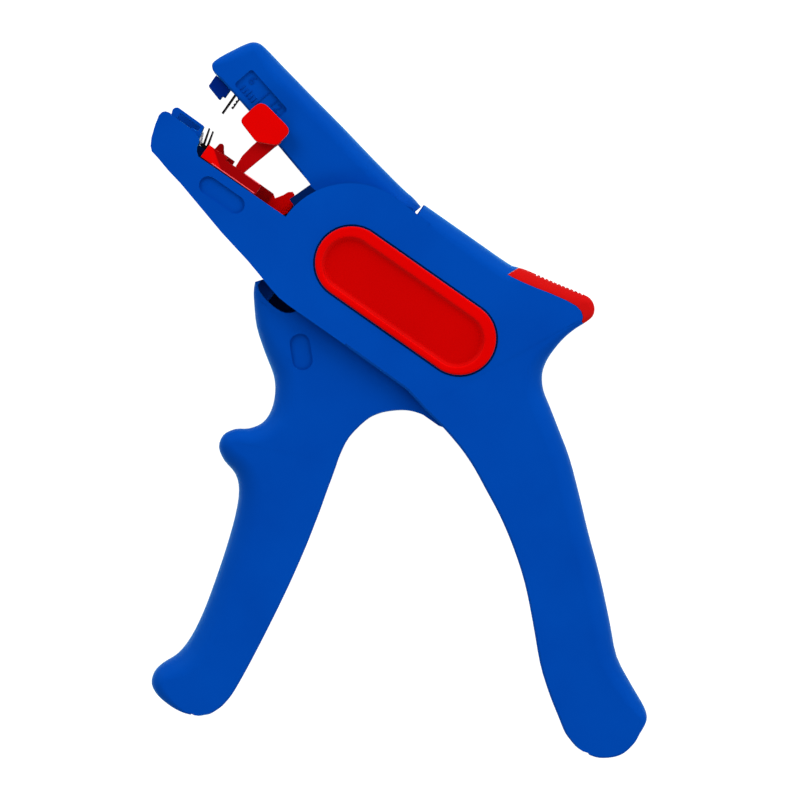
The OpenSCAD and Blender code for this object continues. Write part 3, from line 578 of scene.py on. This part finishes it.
def even_planes(mesh: bpy.types.Mesh, angle: float) -> None:
    """Set corner normals so that flat faces stay flat and fillets run into them.

    Each corner takes the mean normal of the faces round its point that turn by less than the
    angle, and each face counts with the area of the whole plane it lies in.

    Args:
        mesh: the mesh, of triangles or larger faces.
        angle: the largest turn in degrees that is smoothed.
    """
    direction_steps, plane_gap, least_area = 50, 0.02 * MM, 1e-12
    faces, corners = len(mesh.polygons), len(mesh.loops)
    normal = read(mesh.polygons, "normal", 3)
    middle = read(mesh.polygons, "center", 3)
    area = read(mesh.polygons, "area")
    sides = read(mesh.polygons, "loop_total", kind=int)
    point = read(mesh.loops, "vertex_index", kind=int)
    offset = np.einsum("ij,ij->i", normal, middle)
    key = np.round(np.column_stack([normal * direction_steps, offset / plane_gap]))
    plane = np.unique(key, axis=0, return_inverse=True)[1].reshape(-1)
    weight = np.bincount(plane, area)[plane] + least_area
    face = np.repeat(np.arange(faces), sides)
    order = np.argsort(point, kind="stable")
    shared = np.bincount(point)
    first = np.cumsum(shared) - shared
    count = shared[point]
    one = np.repeat(np.arange(corners), count)
    step = np.arange(count.sum()) - np.repeat(np.cumsum(count) - count, count)
    other = order[first[point[one]] + step]
    alike = np.einsum("ij,ij->i", normal[face[one]], normal[face[other]])
    near = alike > math.cos(math.radians(angle))
    one, other = one[near], other[near]
    push = normal[face[other]] * weight[face[other], None]
    total = np.stack([np.bincount(one, push[:, axis], corners) for axis in range(3)], axis=1)
    total /= np.linalg.norm(total, axis=1)[:, None]
    mesh.normals_split_custom_set(total.tolist())


def soften(piece: bpy.types.Object, width: float) -> None:
    """Shade a piece smooth, and bevel its sharp edges.

    Args:
        piece: the object.
        width: bevel width in metres; at zero the corner normals are evened instead.
    """
    piece.data.polygons.foreach_set("use_smooth", [True] * len(piece.data.polygons))
    if not width:
        even_planes(piece.data, SHARP_ANGLE)
        return
    bevel = piece.modifiers.new("eased_edges", "BEVEL")
    bevel.width = width
    bevel.segments = 2
    bevel.limit_method = "ANGLE"
    bevel.angle_limit = math.radians(SHARP_ANGLE)
    bevel.miter_outer = "MITER_ARC"
    bevel.loop_slide = False
    bevel.use_clamp_overlap = False
    weigh = piece.modifiers.new("even_normals", "WEIGHTED_NORMAL")
    weigh.keep_sharp = True
    weigh.weight = 60


def outward_piece(name: str, points: np.ndarray, faces: list[list[int]],
                  merge: bool = False) -> bpy.types.Object:
    """Make a piece from points and faces, with the faces turned outward.

    Args:
        name: the object's name.
        points: an array of shape (points, 3) in metres.
        faces: the points of each face, in order round it.
        merge: join the points that lie on each other.

    Returns:
        The new object.
    """
    mesh = bpy.data.meshes.new(name)
    mesh.from_pydata(points.tolist(), [], faces)
    work = bmesh.new()
    work.from_mesh(mesh)
    if merge:
        bmesh.ops.remove_doubles(work, verts=work.verts, dist=TINY_GAP)
    bmesh.ops.recalc_face_normals(work, faces=work.faces)
    work.to_mesh(mesh)
    work.free()
    return add_object(name, mesh)


def grid_piece(name: str, points: np.ndarray, ring: bool = False) -> bpy.types.Object:
    """Make a surface from a grid of points.

    A quad joins each point with its neighbours, and the last column joins the first. An open
    grid is closed with a face across its first and its last row.

    Args:
        name: the object's name.
        points: an array of shape (rows, columns, 3) in metres.
        ring: the last row joins the first.

    Returns:
        The new object.
    """
    rows, columns = points.shape[:2]
    index = np.arange(rows * columns).reshape(rows, columns)
    if ring:
        index = np.vstack([index, index[:1]])
    index = np.hstack([index, index[:, :1]])
    faces = np.stack([index[:-1, :-1], index[1:, :-1], index[1:, 1:], index[:-1, 1:]], axis=-1)
    faces = faces.reshape(-1, 4).tolist()
    if not ring:
        faces += [index[0, :columns].tolist(), index[rows - 1, :columns][::-1].tolist()]
    return outward_piece(name, points.reshape(-1, 3), faces, merge=True)


def swept_wire(name: str, route: np.ndarray, radius: float, sides: int = 12) -> bpy.types.Object:
    """Sweep a round wire along a route.

    Each ring is a circle round the route's point, square to the direction there: the circle is
    the point plus the radius times the cosine and the sine of the turn, along two directions
    square to the route.

    Args:
        name: the object's name.
        route: an array of shape (points, 3) in metres.
        radius: the wire's radius in metres.
        sides: points in each ring.

    Returns:
        The new object.
    """
    along = np.gradient(route, axis=0)
    along /= np.linalg.norm(along, axis=1)[:, None]
    guide = np.where(np.abs(along[:, 2:]) < 0.9, [[0.0, 0.0, 1.0]], [[0.0, 1.0, 0.0]])
    side = np.cross(along, guide)
    side /= np.linalg.norm(side, axis=1)[:, None]
    up = np.cross(side, along)
    turn = np.linspace(0, 2 * math.pi, sides, endpoint=False)
    rings = (route[:, None, :] + radius * (side[:, None, :] * np.cos(turn)[None, :, None]
                                           + up[:, None, :] * np.sin(turn)[None, :, None]))
    return grid_piece(name, rings)


@dataclass
class Body:
    """The body moulding, its plates, the thumb rest and the fixed pieces inside.

    Attributes:
        model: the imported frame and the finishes.
        plate_left: the x of the oval plates' left end circle.
        plate_right: the x of their right end circle.
        plate_radius: the radius of both.
        panel_lean: how far the front plate's panel sits off the middle, in x and y.
        handle_wire: the radius of the handle spring's wire.
        return_wire: the radius of the return spring's wire.
    """

    model: Model
    plate_left: float = 0.5 * MM
    plate_right: float = 32 * MM
    plate_radius: float = 9.2 * MM
    panel_lean: tuple[float, float] = (-0.3 * MM, -0.6 * MM)
    handle_wire: float = 0.383 * MM
    return_wire: float = 0.25 * MM

    def oval_path(self, count: int = 48) -> tuple[np.ndarray, np.ndarray]:
        """Give points and outward directions round an oval with straight sides.

        Each end is a half circle of turn angles, and the straight sides join them.

        Args:
            count: points on each half circle.

        Returns:
            The centres of the end circles by point, and the unit outward directions.
        """
        turn = np.concatenate([np.linspace(-math.pi / 2, math.pi / 2, count),
                               np.linspace(math.pi / 2, 3 * math.pi / 2, count)])
        centre = np.repeat([self.plate_right, self.plate_left], count)
        return centre, np.stack([np.cos(turn), np.sin(turn)], axis=1)

    def oval_plate(self, name: str, profile: list[Triple],
                   ring: bool = False) -> bpy.types.Object:
        """Carry a profile round the oval.

        Args:
            name: the object's name.
            profile: the inset from the plate's outline, the height, and the share of the
                panel's lean that the row is shifted by; lengths are in millimetres.
            ring: the last row joins the first.

        Returns:
            The new plate.
        """
        centre, out = self.oval_path()
        inset, height, share = np.array(profile).T
        reach = self.plate_radius - inset * MM
        lean_x, lean_y = self.panel_lean
        x = centre[None, :] + reach[:, None] * out[None, :, 0] + share[:, None] * lean_x
        y = reach[:, None] * out[None, :, 1] + share[:, None] * lean_y
        z = np.broadcast_to(height[:, None] * MM, x.shape)
        return grid_piece(name, np.stack([x, y, z], axis=-1), ring)

    def build(self) -> None:
        """Make and place every piece of the body."""
        m = self.model
        m.eased("body_frame", BLUE, Slot.BLUE)
        m.eased("thumb_rest", REST_RED, Slot.RED, 0.06 * MM)
        m.eased("lower_clamp_pad", BLUE, Slot.BLUE, 0.2 * MM)
        self.plates()
        m.slab("head_lip", [[[6.62, 21.3], [7.1, 21.36], [7.1, 18.2], [6.62, 18.2]]],
               (4.2, 15.8), "body", BLUE, Slot.BLUE)
        m.slab("mouth_sill", [[[-19.9, -0.3], [-17.0, -0.3], [-17.0, 3.6], [-19.0, 3.4]]],
               (0.4, 3.2), "body", BLUE, Slot.BLUE)
        for node in ("jaw_pin", "trigger_pin", "spring_post"):
            m.eased(node, STEEL, Slot.STEEL)
        self.springs()

    def plates(self) -> None:
        """Make the front plate's rim, its sunk panel and a navy ring of painted shadow round it,
        and ease the back plate.
        """
        m = self.model
        rim = self.oval_plate("front_plate_rim", [
            (0.46, 18.85, 0), (0.46, 19.95, 0), (0.5, 20.16, 0), (0.6, 20.34, 0),
            (0.78, 20.46, 0), (1.05, 20.5, 0), (1.6, 20.5, 0.3), (2.05, 20.5, 0.8),
            (2.4, 20.47, 1), (2.57, 20.38, 1), (2.7, 20.2, 1), (2.7, 18.85, 1)], ring=True)
        m.place(rim, "body", RED, Slot.RED, "front_oval_plate")
        # Painted shade: the sunk panel takes a darker red than the rim.
        panel = self.oval_plate("front_plate_panel", [
            (2.65, 18.9, 1), (2.65, 20.24, 1), (2.8, 20.12, 1), (3.1, 19.78, 1),
            (3.3, 19.62, 1), (3.55, 19.53, 1), (4.0, 19.5, 1), (6.5, 19.5, 1), (9.1, 19.5, 1)])
        m.place(panel, "body", SHADED_PANEL_RED, Slot.RED, "front_oval_plate")
        # Painted shadow: a thin navy ring lies where the plate meets the body.
        shadow_ring = self.oval_plate("front_plate_shadow_ring", [
            (-0.03, 19.5, 0), (-0.03, 19.86, 0), (0.2, 19.8, 0), (0.5, 19.82, 0),
            (0.5, 19.5, 0)], ring=True)
        m.place(shadow_ring, "body", NAVY, Slot.NAVY)
        m.eased("rear_oval_plate", RED, Slot.RED, 0.1 * MM)

    def springs(self) -> None:
        """Wind the handle spring and the return spring from smooth round wire."""
        m = self.model
        wire = swept_wire("handle_spring_wire", self.handle_route(), self.handle_wire)
        m.place(wire, "body", STEEL, Slot.STEEL, "handle_spring")
        wire = swept_wire("return_spring_wire", self.return_route(), self.return_wire)
        m.stretch(wire, ("body", "carriage"), ((-29.2, -7, 10), (-17.2, -7, 10)), STEEL,
                  Slot.STEEL, "return_spring")

    def handle_route(self, per_turn: int = 48) -> np.ndarray:
        """Give the handle spring's route: a straight leg, and two turns round the trigger's bush.

        The turns are a helix: x and y go round a circle while z rises evenly.

        Args:
            per_turn: points in each turn.

        Returns:
            The route in metres, of shape (points, 3).
        """
        middle_x, middle_y, low, reach, rise, turns = 32.0, 4.0, 11.883, 4.883, 0.9167, 2
        height = np.linspace(-13.0, 3.3, 18)
        leg = np.stack([np.full_like(height, middle_x - reach), height,
                        np.full_like(height, low)], axis=1)
        share = np.linspace(0, turns, turns * per_turn + 1)
        turn = math.pi - 2 * math.pi * share
        coil = np.stack([middle_x + reach * np.cos(turn), middle_y + reach * np.sin(turn),
                         low + rise * share], axis=1)
        return np.concatenate([leg, coil]) * MM

    def return_route(self, per_turn: int = 28) -> np.ndarray:
        """Give the return spring's route: a loop round its post, close turns, and its end.

        The turns are a helix whose circle lies in y and z while x advances evenly.

        Args:
            per_turn: points in each turn.

        Returns:
            The route in metres, of shape (points, 3).
        """
        post, level, middle, hook, reach = -30.0, -7.0, 10.0, 1.35, 1.55
        first, last, turns = -28.5, -17.75, 12.25
        bend = np.radians(np.linspace(-40, -270, 24))
        loop = np.stack([post + hook * np.cos(bend), level + hook * np.sin(bend),
                         np.full_like(bend, middle)], axis=1)
        share = np.linspace(0, 1, int(turns * per_turn) + 1)
        turn = 2 * math.pi * turns * share
        coil = np.stack([first + (last - first) * share, level + reach * np.cos(turn),
                         middle + reach * np.sin(turn)], axis=1)
        end = np.array([[-17.3, level + 0.2, 11.55], [-16.75, level, 11.5]])
        return np.concatenate([loop, coil, end]) * MM


def raised_figure(name: str, text: str, high: float, thick: float) -> bpy.types.Mesh:
    """Make a plain figure as a solid mesh, centred on the origin.

    Args:
        name: the mesh's name.
        text: the digits.
        high: their height in metres.
        thick: how far they stand up in metres.

    Returns:
        The mesh.
    """
    digit_share = 0.7
    curve = bpy.data.curves.new(name, "FONT")
    curve.body = text
    curve.size = high / digit_share
    curve.extrude = thick / 2
    curve.align_x = "CENTER"
    curve.align_y = "CENTER"
    holder = add_object(name, curve)
    bpy.context.view_layer.update()
    graph = bpy.context.evaluated_depsgraph_get()
    mesh = bpy.data.meshes.new_from_object(holder.evaluated_get(graph))
    bpy.data.objects.remove(holder)
    bpy.data.curves.remove(curve)
    return mesh


def flat_bars(name: str, bars: np.ndarray, low: float, high: float) -> bpy.types.Object:
    """Make flat four-sided bars from their corners.

    Each bar is a box: its four corners at the lower height and again at the upper one.

    Args:
        name: the object's name.
        bars: corners of shape (bars, 4, 2) in metres, in order round each bar.
        low: the lower height in metres.
        high: the upper height in metres.

    Returns:
        The new object.
    """
    count = len(bars)
    heights = np.broadcast_to(np.array([low, high])[None, :, None, None], (count, 2, 4, 1))
    corners = np.broadcast_to(bars[:, None], (count, 2, 4, 2))
    points = np.concatenate([corners, heights], axis=-1).reshape(-1, 3)
    sides = np.array([[3, 2, 1, 0], [4, 5, 6, 7], [0, 1, 5, 4], [1, 2, 6, 5], [2, 3, 7, 6],
                      [3, 0, 4, 7]])
    faces = (sides[None] + 8 * np.arange(count)[:, None, None]).reshape(-1, 4)
    return outward_piece(name, points, faces.tolist())


@dataclass
class UpperJaw:
    """The upper jaw with its pad, its blades and what draws them.

    Attributes:
        model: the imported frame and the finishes.
        scale_at: where the middle of the scale's panel lies.
        scale_turn: the panel's tilt.
        scale_floor: the height of the panel's floor.
        relief: how far the marks stand up from it.
    """

    model: Model
    scale_at: tuple[float, float] = (-40.1 * MM, 20.1 * MM)
    scale_turn: float = math.radians(-13.4)
    scale_floor: float = 15.95 * MM
    relief: float = 0.14 * MM

    def on_scale(self, points: np.ndarray) -> np.ndarray:
        """Bring points of the scale's own panel into the frame.

        Each point is turned by the panel's tilt, and then shifted to where the panel lies.

        Args:
            points: an array whose last axis holds x and y in metres.

        Returns:
            The points in the frame.
        """
        c, s = math.cos(self.scale_turn), math.sin(self.scale_turn)
        return points @ np.array([[c, s], [-s, c]]) + np.array(self.scale_at)

    def scale_ticks(self) -> None:
        """Raise the length scale's ticks from the sunk panel, in a darker blue that is painted
        shade.
        """
        along = np.array([-4.6, -3.6, -2.6, -1.6, -0.6, 0.4, 1.4, 2.4, 3.4])
        top = np.array([-0.9, -0.9, -0.5, -0.9, -0.9, 2.2, -0.9, -0.9, -0.5])
        half, sunk = 0.16, 0.05 * MM
        foot = np.full_like(along, -2.5)
        rows = np.stack([np.stack([along - half, foot], -1), np.stack([along + half, foot], -1),
                         np.stack([along + half, top], -1), np.stack([along - half, top], -1)],
                        axis=1)
        ticks = flat_bars("scale_ticks", self.on_scale(rows * MM), self.scale_floor - sunk,
                          self.scale_floor + self.relief)
        soften(ticks, 0.06 * MM)
        self.model.place(ticks, "upper_jaw", SHADED_MARK_BLUE, Slot.BLUE)

    def scale_figures(self) -> None:
        """Raise the length scale's two figures from the sunk panel, in a darker blue that is
        painted shade.
        """
        for text, u, v in (("6", -4.3, 1.1), ("12", 3.9, 1.2)):
            name = "scale_figure_" + text
            mesh = raised_figure(name, text, 2.1 * MM, 2 * self.relief)
            x, y = self.on_scale(np.array([[u, v]]) * MM)[0]
            mesh.transform(Matrix.Translation((x, y, self.scale_floor))
                           @ Matrix.Rotation(self.scale_turn, 4, "Z"))
            self.model.place(add_object(name, mesh), "upper_jaw", SHADED_MARK_BLUE, Slot.BLUE)

    def build(self) -> None:
        """Make and place every piece of the upper jaw."""
        m = self.model
        self.scale_ticks()
        self.scale_figures()
        # Painted shade: a thin navy sheet over the jaw's lug, between the mouth and the head.
        m.slab("jaw_shadow_sheet", [[[-18.5, 9.5], [-16.4, 9.2], [-18.3, 3.2], [-20.5, 3.95]]],
               (16.4, 16.7), "upper_jaw", NAVY, Slot.NAVY)
        # Painted shade: the pad's neck takes the darker blue.
        m.slab("pad_neck", [[[-51.5, 17.9], [-47.7, 17.1], [-47.6, 17.9], [-51.4, 18.8]]],
               (6.4, 13.6), "upper_jaw", SHADE_BLUE, Slot.NAVY)
        m.eased("upper_jaw", BLUE, Slot.BLUE)
        # Painted shade: the upper clamp pad takes the darker blue.
        m.eased("upper_clamp_pad", SHADE_BLUE, Slot.NAVY, 0.12 * MM)
        m.eased("upper_blades", BLACK_STEEL, Slot.BLACK, 0.04 * MM)
        for node in ("jaw_bush", "heel_pin", "closing_link", "upper_blade_holder",
                     "upper_blade_pin", "upper_pull_strips", "holder_rivet"):
            m.eased(node, STEEL, Slot.STEEL, 0.08 * MM)


@dataclass
class Carriage:
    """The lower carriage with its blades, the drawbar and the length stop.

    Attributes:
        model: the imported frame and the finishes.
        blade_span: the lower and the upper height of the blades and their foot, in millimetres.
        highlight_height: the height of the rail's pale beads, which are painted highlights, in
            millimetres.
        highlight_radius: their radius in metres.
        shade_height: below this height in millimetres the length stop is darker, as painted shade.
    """

    model: Model
    blade_span: tuple[float, float] = (6.1, 13.9)
    highlight_height: float = 19.78
    highlight_radius: float = 0.13 * MM
    shade_height: float = 20.1

    def rail_highlight(self, name: str, start: float, end: float, level: float) -> None:
        """Lay a pale bead along one edge of the rail, as a painted highlight.

        Args:
            name: the piece's name.
            start: the x of its start in millimetres.
            end: the x of its end in millimetres.
            level: its y in millimetres.
        """
        reach = np.linspace(start, end, 9)
        route = np.stack([reach, np.full_like(reach, level),
                          np.full_like(reach, self.highlight_height)], axis=1) * MM
        bead = swept_wire(name, route, self.highlight_radius, 10)
        self.model.place(bead, "carriage", HIGHLIGHT_RED, Slot.RED)

    def blades(self) -> None:
        """Make the lower blades: three slanted leaves on one dark foot. The front leaf's bright
        steel is a painted highlight; the black of the two other leaves and of the foot, and the
        navy shoe below, are painted shade.
        """
        half, narrow = 0.26, 0.35
        feet = np.array([[-45.55, 2.5], [-44.85, 2.8], [-43.9, 3.0]])
        tips = np.array([[-46.85, 5.2], [-46.1, 6.9], [-44.95, 6.8]])
        along = (tips - feet) / np.linalg.norm(tips - feet, axis=1)[:, None]
        side = np.stack([-along[:, 1], along[:, 0]], axis=1) * half
        bars = np.stack([feet - side, feet + side, tips + side * narrow, tips - side], axis=1)
        m = self.model
        # Painted highlight: the front leaf is bright steel.
        m.slab("lower_blade_highlit_leaf", bars[:1], self.blade_span, "carriage", HIGHLIGHT_STEEL,
               Slot.STEEL, "lower_blades", ease=0.05)
        # Painted shade: the two back leaves are black steel.
        m.slab("lower_blade_shaded_leaves", bars[1:], self.blade_span, "carriage", BLACK_STEEL,
               Slot.STEEL, "lower_blades", ease=0.05)
        # Painted shade: a navy shoe under the leaves.
        m.slab("lower_blade_shadow_shoe", [[[-46.05, 2.2], [-43.75, 2.2], [-43.7, -0.3], [-44.2, -0.3]],
                                    [[-46.05, 2.2], [-44.2, -0.3], [-45.1, 0.1], [-45.95, 1.2]]],
               self.blade_span, "carriage", NAVY, Slot.NAVY)
        # Painted shade: the foot is black steel.
        m.slab("lower_blade_shaded_foot", [[[-45.8, 2.35], [-45.4, 3.1], [-43.7, 3.05], [-43.7, 2.0]],
                                    [[-43.7, 2.0], [-43.7, 3.0], [-41.4, 3.0], [-41.4, 2.0]]],
               self.blade_span, "carriage", BLACK_STEEL, Slot.STEEL, "lower_blades", ease=0.05)

    def build(self) -> None:
        """Make and place every piece of the carriage."""
        m = self.model
        # The carriage takes painted shade: its rail is a darker red.
        m.eased("lower_carriage", SHADE_BANDED_RED, Slot.RED, 0.12 * MM)
        # Pale beads along the rail's edges: painted highlights.
        self.rail_highlight("rail_low_highlight", -40.6, -28.2, 0.28)
        self.rail_highlight("rail_top_highlight", -32.6, -28.2, 2.78)
        stop = m.eased("length_stop", RED, Slot.RED, 0.18 * MM)
        # Painted shade: the stop's arm, below the knob, takes a darker red.
        m.repaint(stop, SHADE_RED, lambda at: at[:, 2] < self.shade_height)
        self.blades()
        for node in ("lower_blade_pin", "drawbar", "drawbar_rivets", "cross_pin"):
            m.eased(node, STEEL, Slot.STEEL, 0.08 * MM)


@dataclass
class Trigger:
    """The trigger handle with its bush, its pins and its roller."""

    model: Model

    def build(self) -> None:
        """Make and place every piece of the trigger."""
        m = self.model
        m.eased("trigger_handle", BLUE, Slot.BLUE)
        for node in ("trigger_bush", "drive_pin", "drive_roller", "link_pin"):
            m.eased(node, STEEL, Slot.STEEL, 0.05 * MM)


@dataclass(frozen=True)
class Lamp:
    """A round soft lamp: its place in metres, its width in metres and its power in watts."""

    name: str
    place: Triple
    size: float
    power: float


@dataclass
class Studio:
    """The floor, the lamps, the world and the camera.

    Attributes:
        distance: from the middle of the tool to the camera, in metres.
        middle_height: the height of the tool's middle in metres.
        floor_side: the floor's side in metres.
        floor_grey: how much light the floor returns.
        floor_glow: how bright the floor looks to the camera.
        world_light: the strength of the pale world.
        lamps: the lamps.
    """

    distance: float = 4.0
    middle_height: float = 0.01
    floor_side: float = 6.0
    floor_grey: float = 0.3
    floor_glow: float = 0.95
    world_light: float = 0.25
    lamps: tuple[Lamp, ...] = (
        Lamp("left_lamp", (-1.0, 0.25, 0.55), 0.9, 11.4),
        Lamp("right_lamp", (1.0, 0.2, 0.55), 0.9, 7.8),
        Lamp("near_lamp", (0.1, -1.05, 0.55), 0.9, 4.2),
        Lamp("far_lamp", (-0.1, 1.1, 0.55), 0.9, 10.8))

    def floor(self) -> None:
        """Lay a white floor that keeps the shadow and looks white to the camera."""
        half = self.floor_side / 2
        mesh = bpy.data.meshes.new("floor")
        mesh.from_pydata([(-half, -half, 0), (half, -half, 0), (half, half, 0), (-half, half, 0)],
                         [], [(0, 1, 2, 3)])
        mesh.materials.append(self.floor_material())
        floor = add_object("floor", mesh)

    def floor_material(self) -> bpy.types.Material:
        """Make the floor's material.

        A plain grey takes the shadow, and a glow that only camera and mirror rays see is added.

        Returns:
            The material.
        """
        material = bpy.data.materials.new("white_floor")
        material.use_nodes = True
        tree = material.node_tree
        nodes = Nodes(tree)
        shader = tree.nodes["Principled BSDF"]
        nodes.feed(shader, {"Base Color": (*[self.floor_grey] * 3, 1), "Roughness": 0.9,
                            "Specular IOR Level": 0.0})
        ray = nodes.add("ShaderNodeLightPath").outputs
        looked = nodes.add("ShaderNodeMath", {0: ray["Is Camera Ray"], 1: ray["Is Glossy Ray"]},
                           operation="MAXIMUM")
        glow = nodes.add("ShaderNodeEmission", {"Strength": self.floor_glow})
        dark = nodes.add("ShaderNodeEmission", {"Strength": 0.0})
        seen = nodes.add("ShaderNodeMixShader", {
            "Fac": looked.outputs["Value"], 1: dark.outputs["Emission"],
            2: glow.outputs["Emission"]})
        both = nodes.add("ShaderNodeAddShader", {0: shader.outputs["BSDF"],
                                                 1: seen.outputs["Shader"]})
        nodes.feed(tree.nodes["Material Output"], {"Surface": both.outputs["Shader"]})
        return material

    def light(self) -> None:
        """Set the soft lamps and a plain pale world."""
        for lamp in self.lamps:
            light = bpy.data.lights.new(lamp.name, "AREA")
            light.shape = "DISK"
            light.size = lamp.size
            light.energy = lamp.power
            holder = add_object(lamp.name, light)
            holder.location = lamp.place
            aim = Vector((*PHOTO_MIDDLE, 0)) - Vector(lamp.place)
            holder.rotation_euler = aim.to_track_quat("-Z", "Y").to_euler()
        world = bpy.data.worlds.new("pale_world")
        world.use_nodes = True
        Nodes(world.node_tree).feed(world.node_tree.nodes["Background"], {
            "Color": (0.9, 0.92, 0.95, 1), "Strength": self.world_light})
        bpy.context.scene.world = world

    def camera(self) -> None:
        """Set the long-lens camera straight above, turned as in the photograph."""
        lens = bpy.data.cameras.new("photo_camera")
        lens.sensor_width = 36.0
        lens.lens = lens.sensor_width * self.distance / PHOTO_SPAN
        lens.clip_end = 20.0
        holder = add_object("photo_camera", lens)
        place = Matrix.Translation((*PHOTO_MIDDLE, self.middle_height + self.distance))
        holder.matrix_world = place @ Matrix.Rotation(PHOTO_TURN, 4, "Z")
        bpy.context.scene.camera = holder

    def build(self) -> None:
        """Make the whole setting."""
        self.floor()
        self.light()
        self.camera()
        bpy.context.scene.view_settings.view_transform = "Standard"


def main() -> None:
    """Build the object and its setting."""
    logging.basicConfig(level=logging.INFO, format="%(name)s: %(message)s")
    model = Model()
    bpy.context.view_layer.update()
    for part in (Body(model), UpperJaw(model), Carriage(model), Trigger(model), Studio()):
        part.build()
    bpy.context.view_layer.update()


if __name__ == "__main__":
    main()
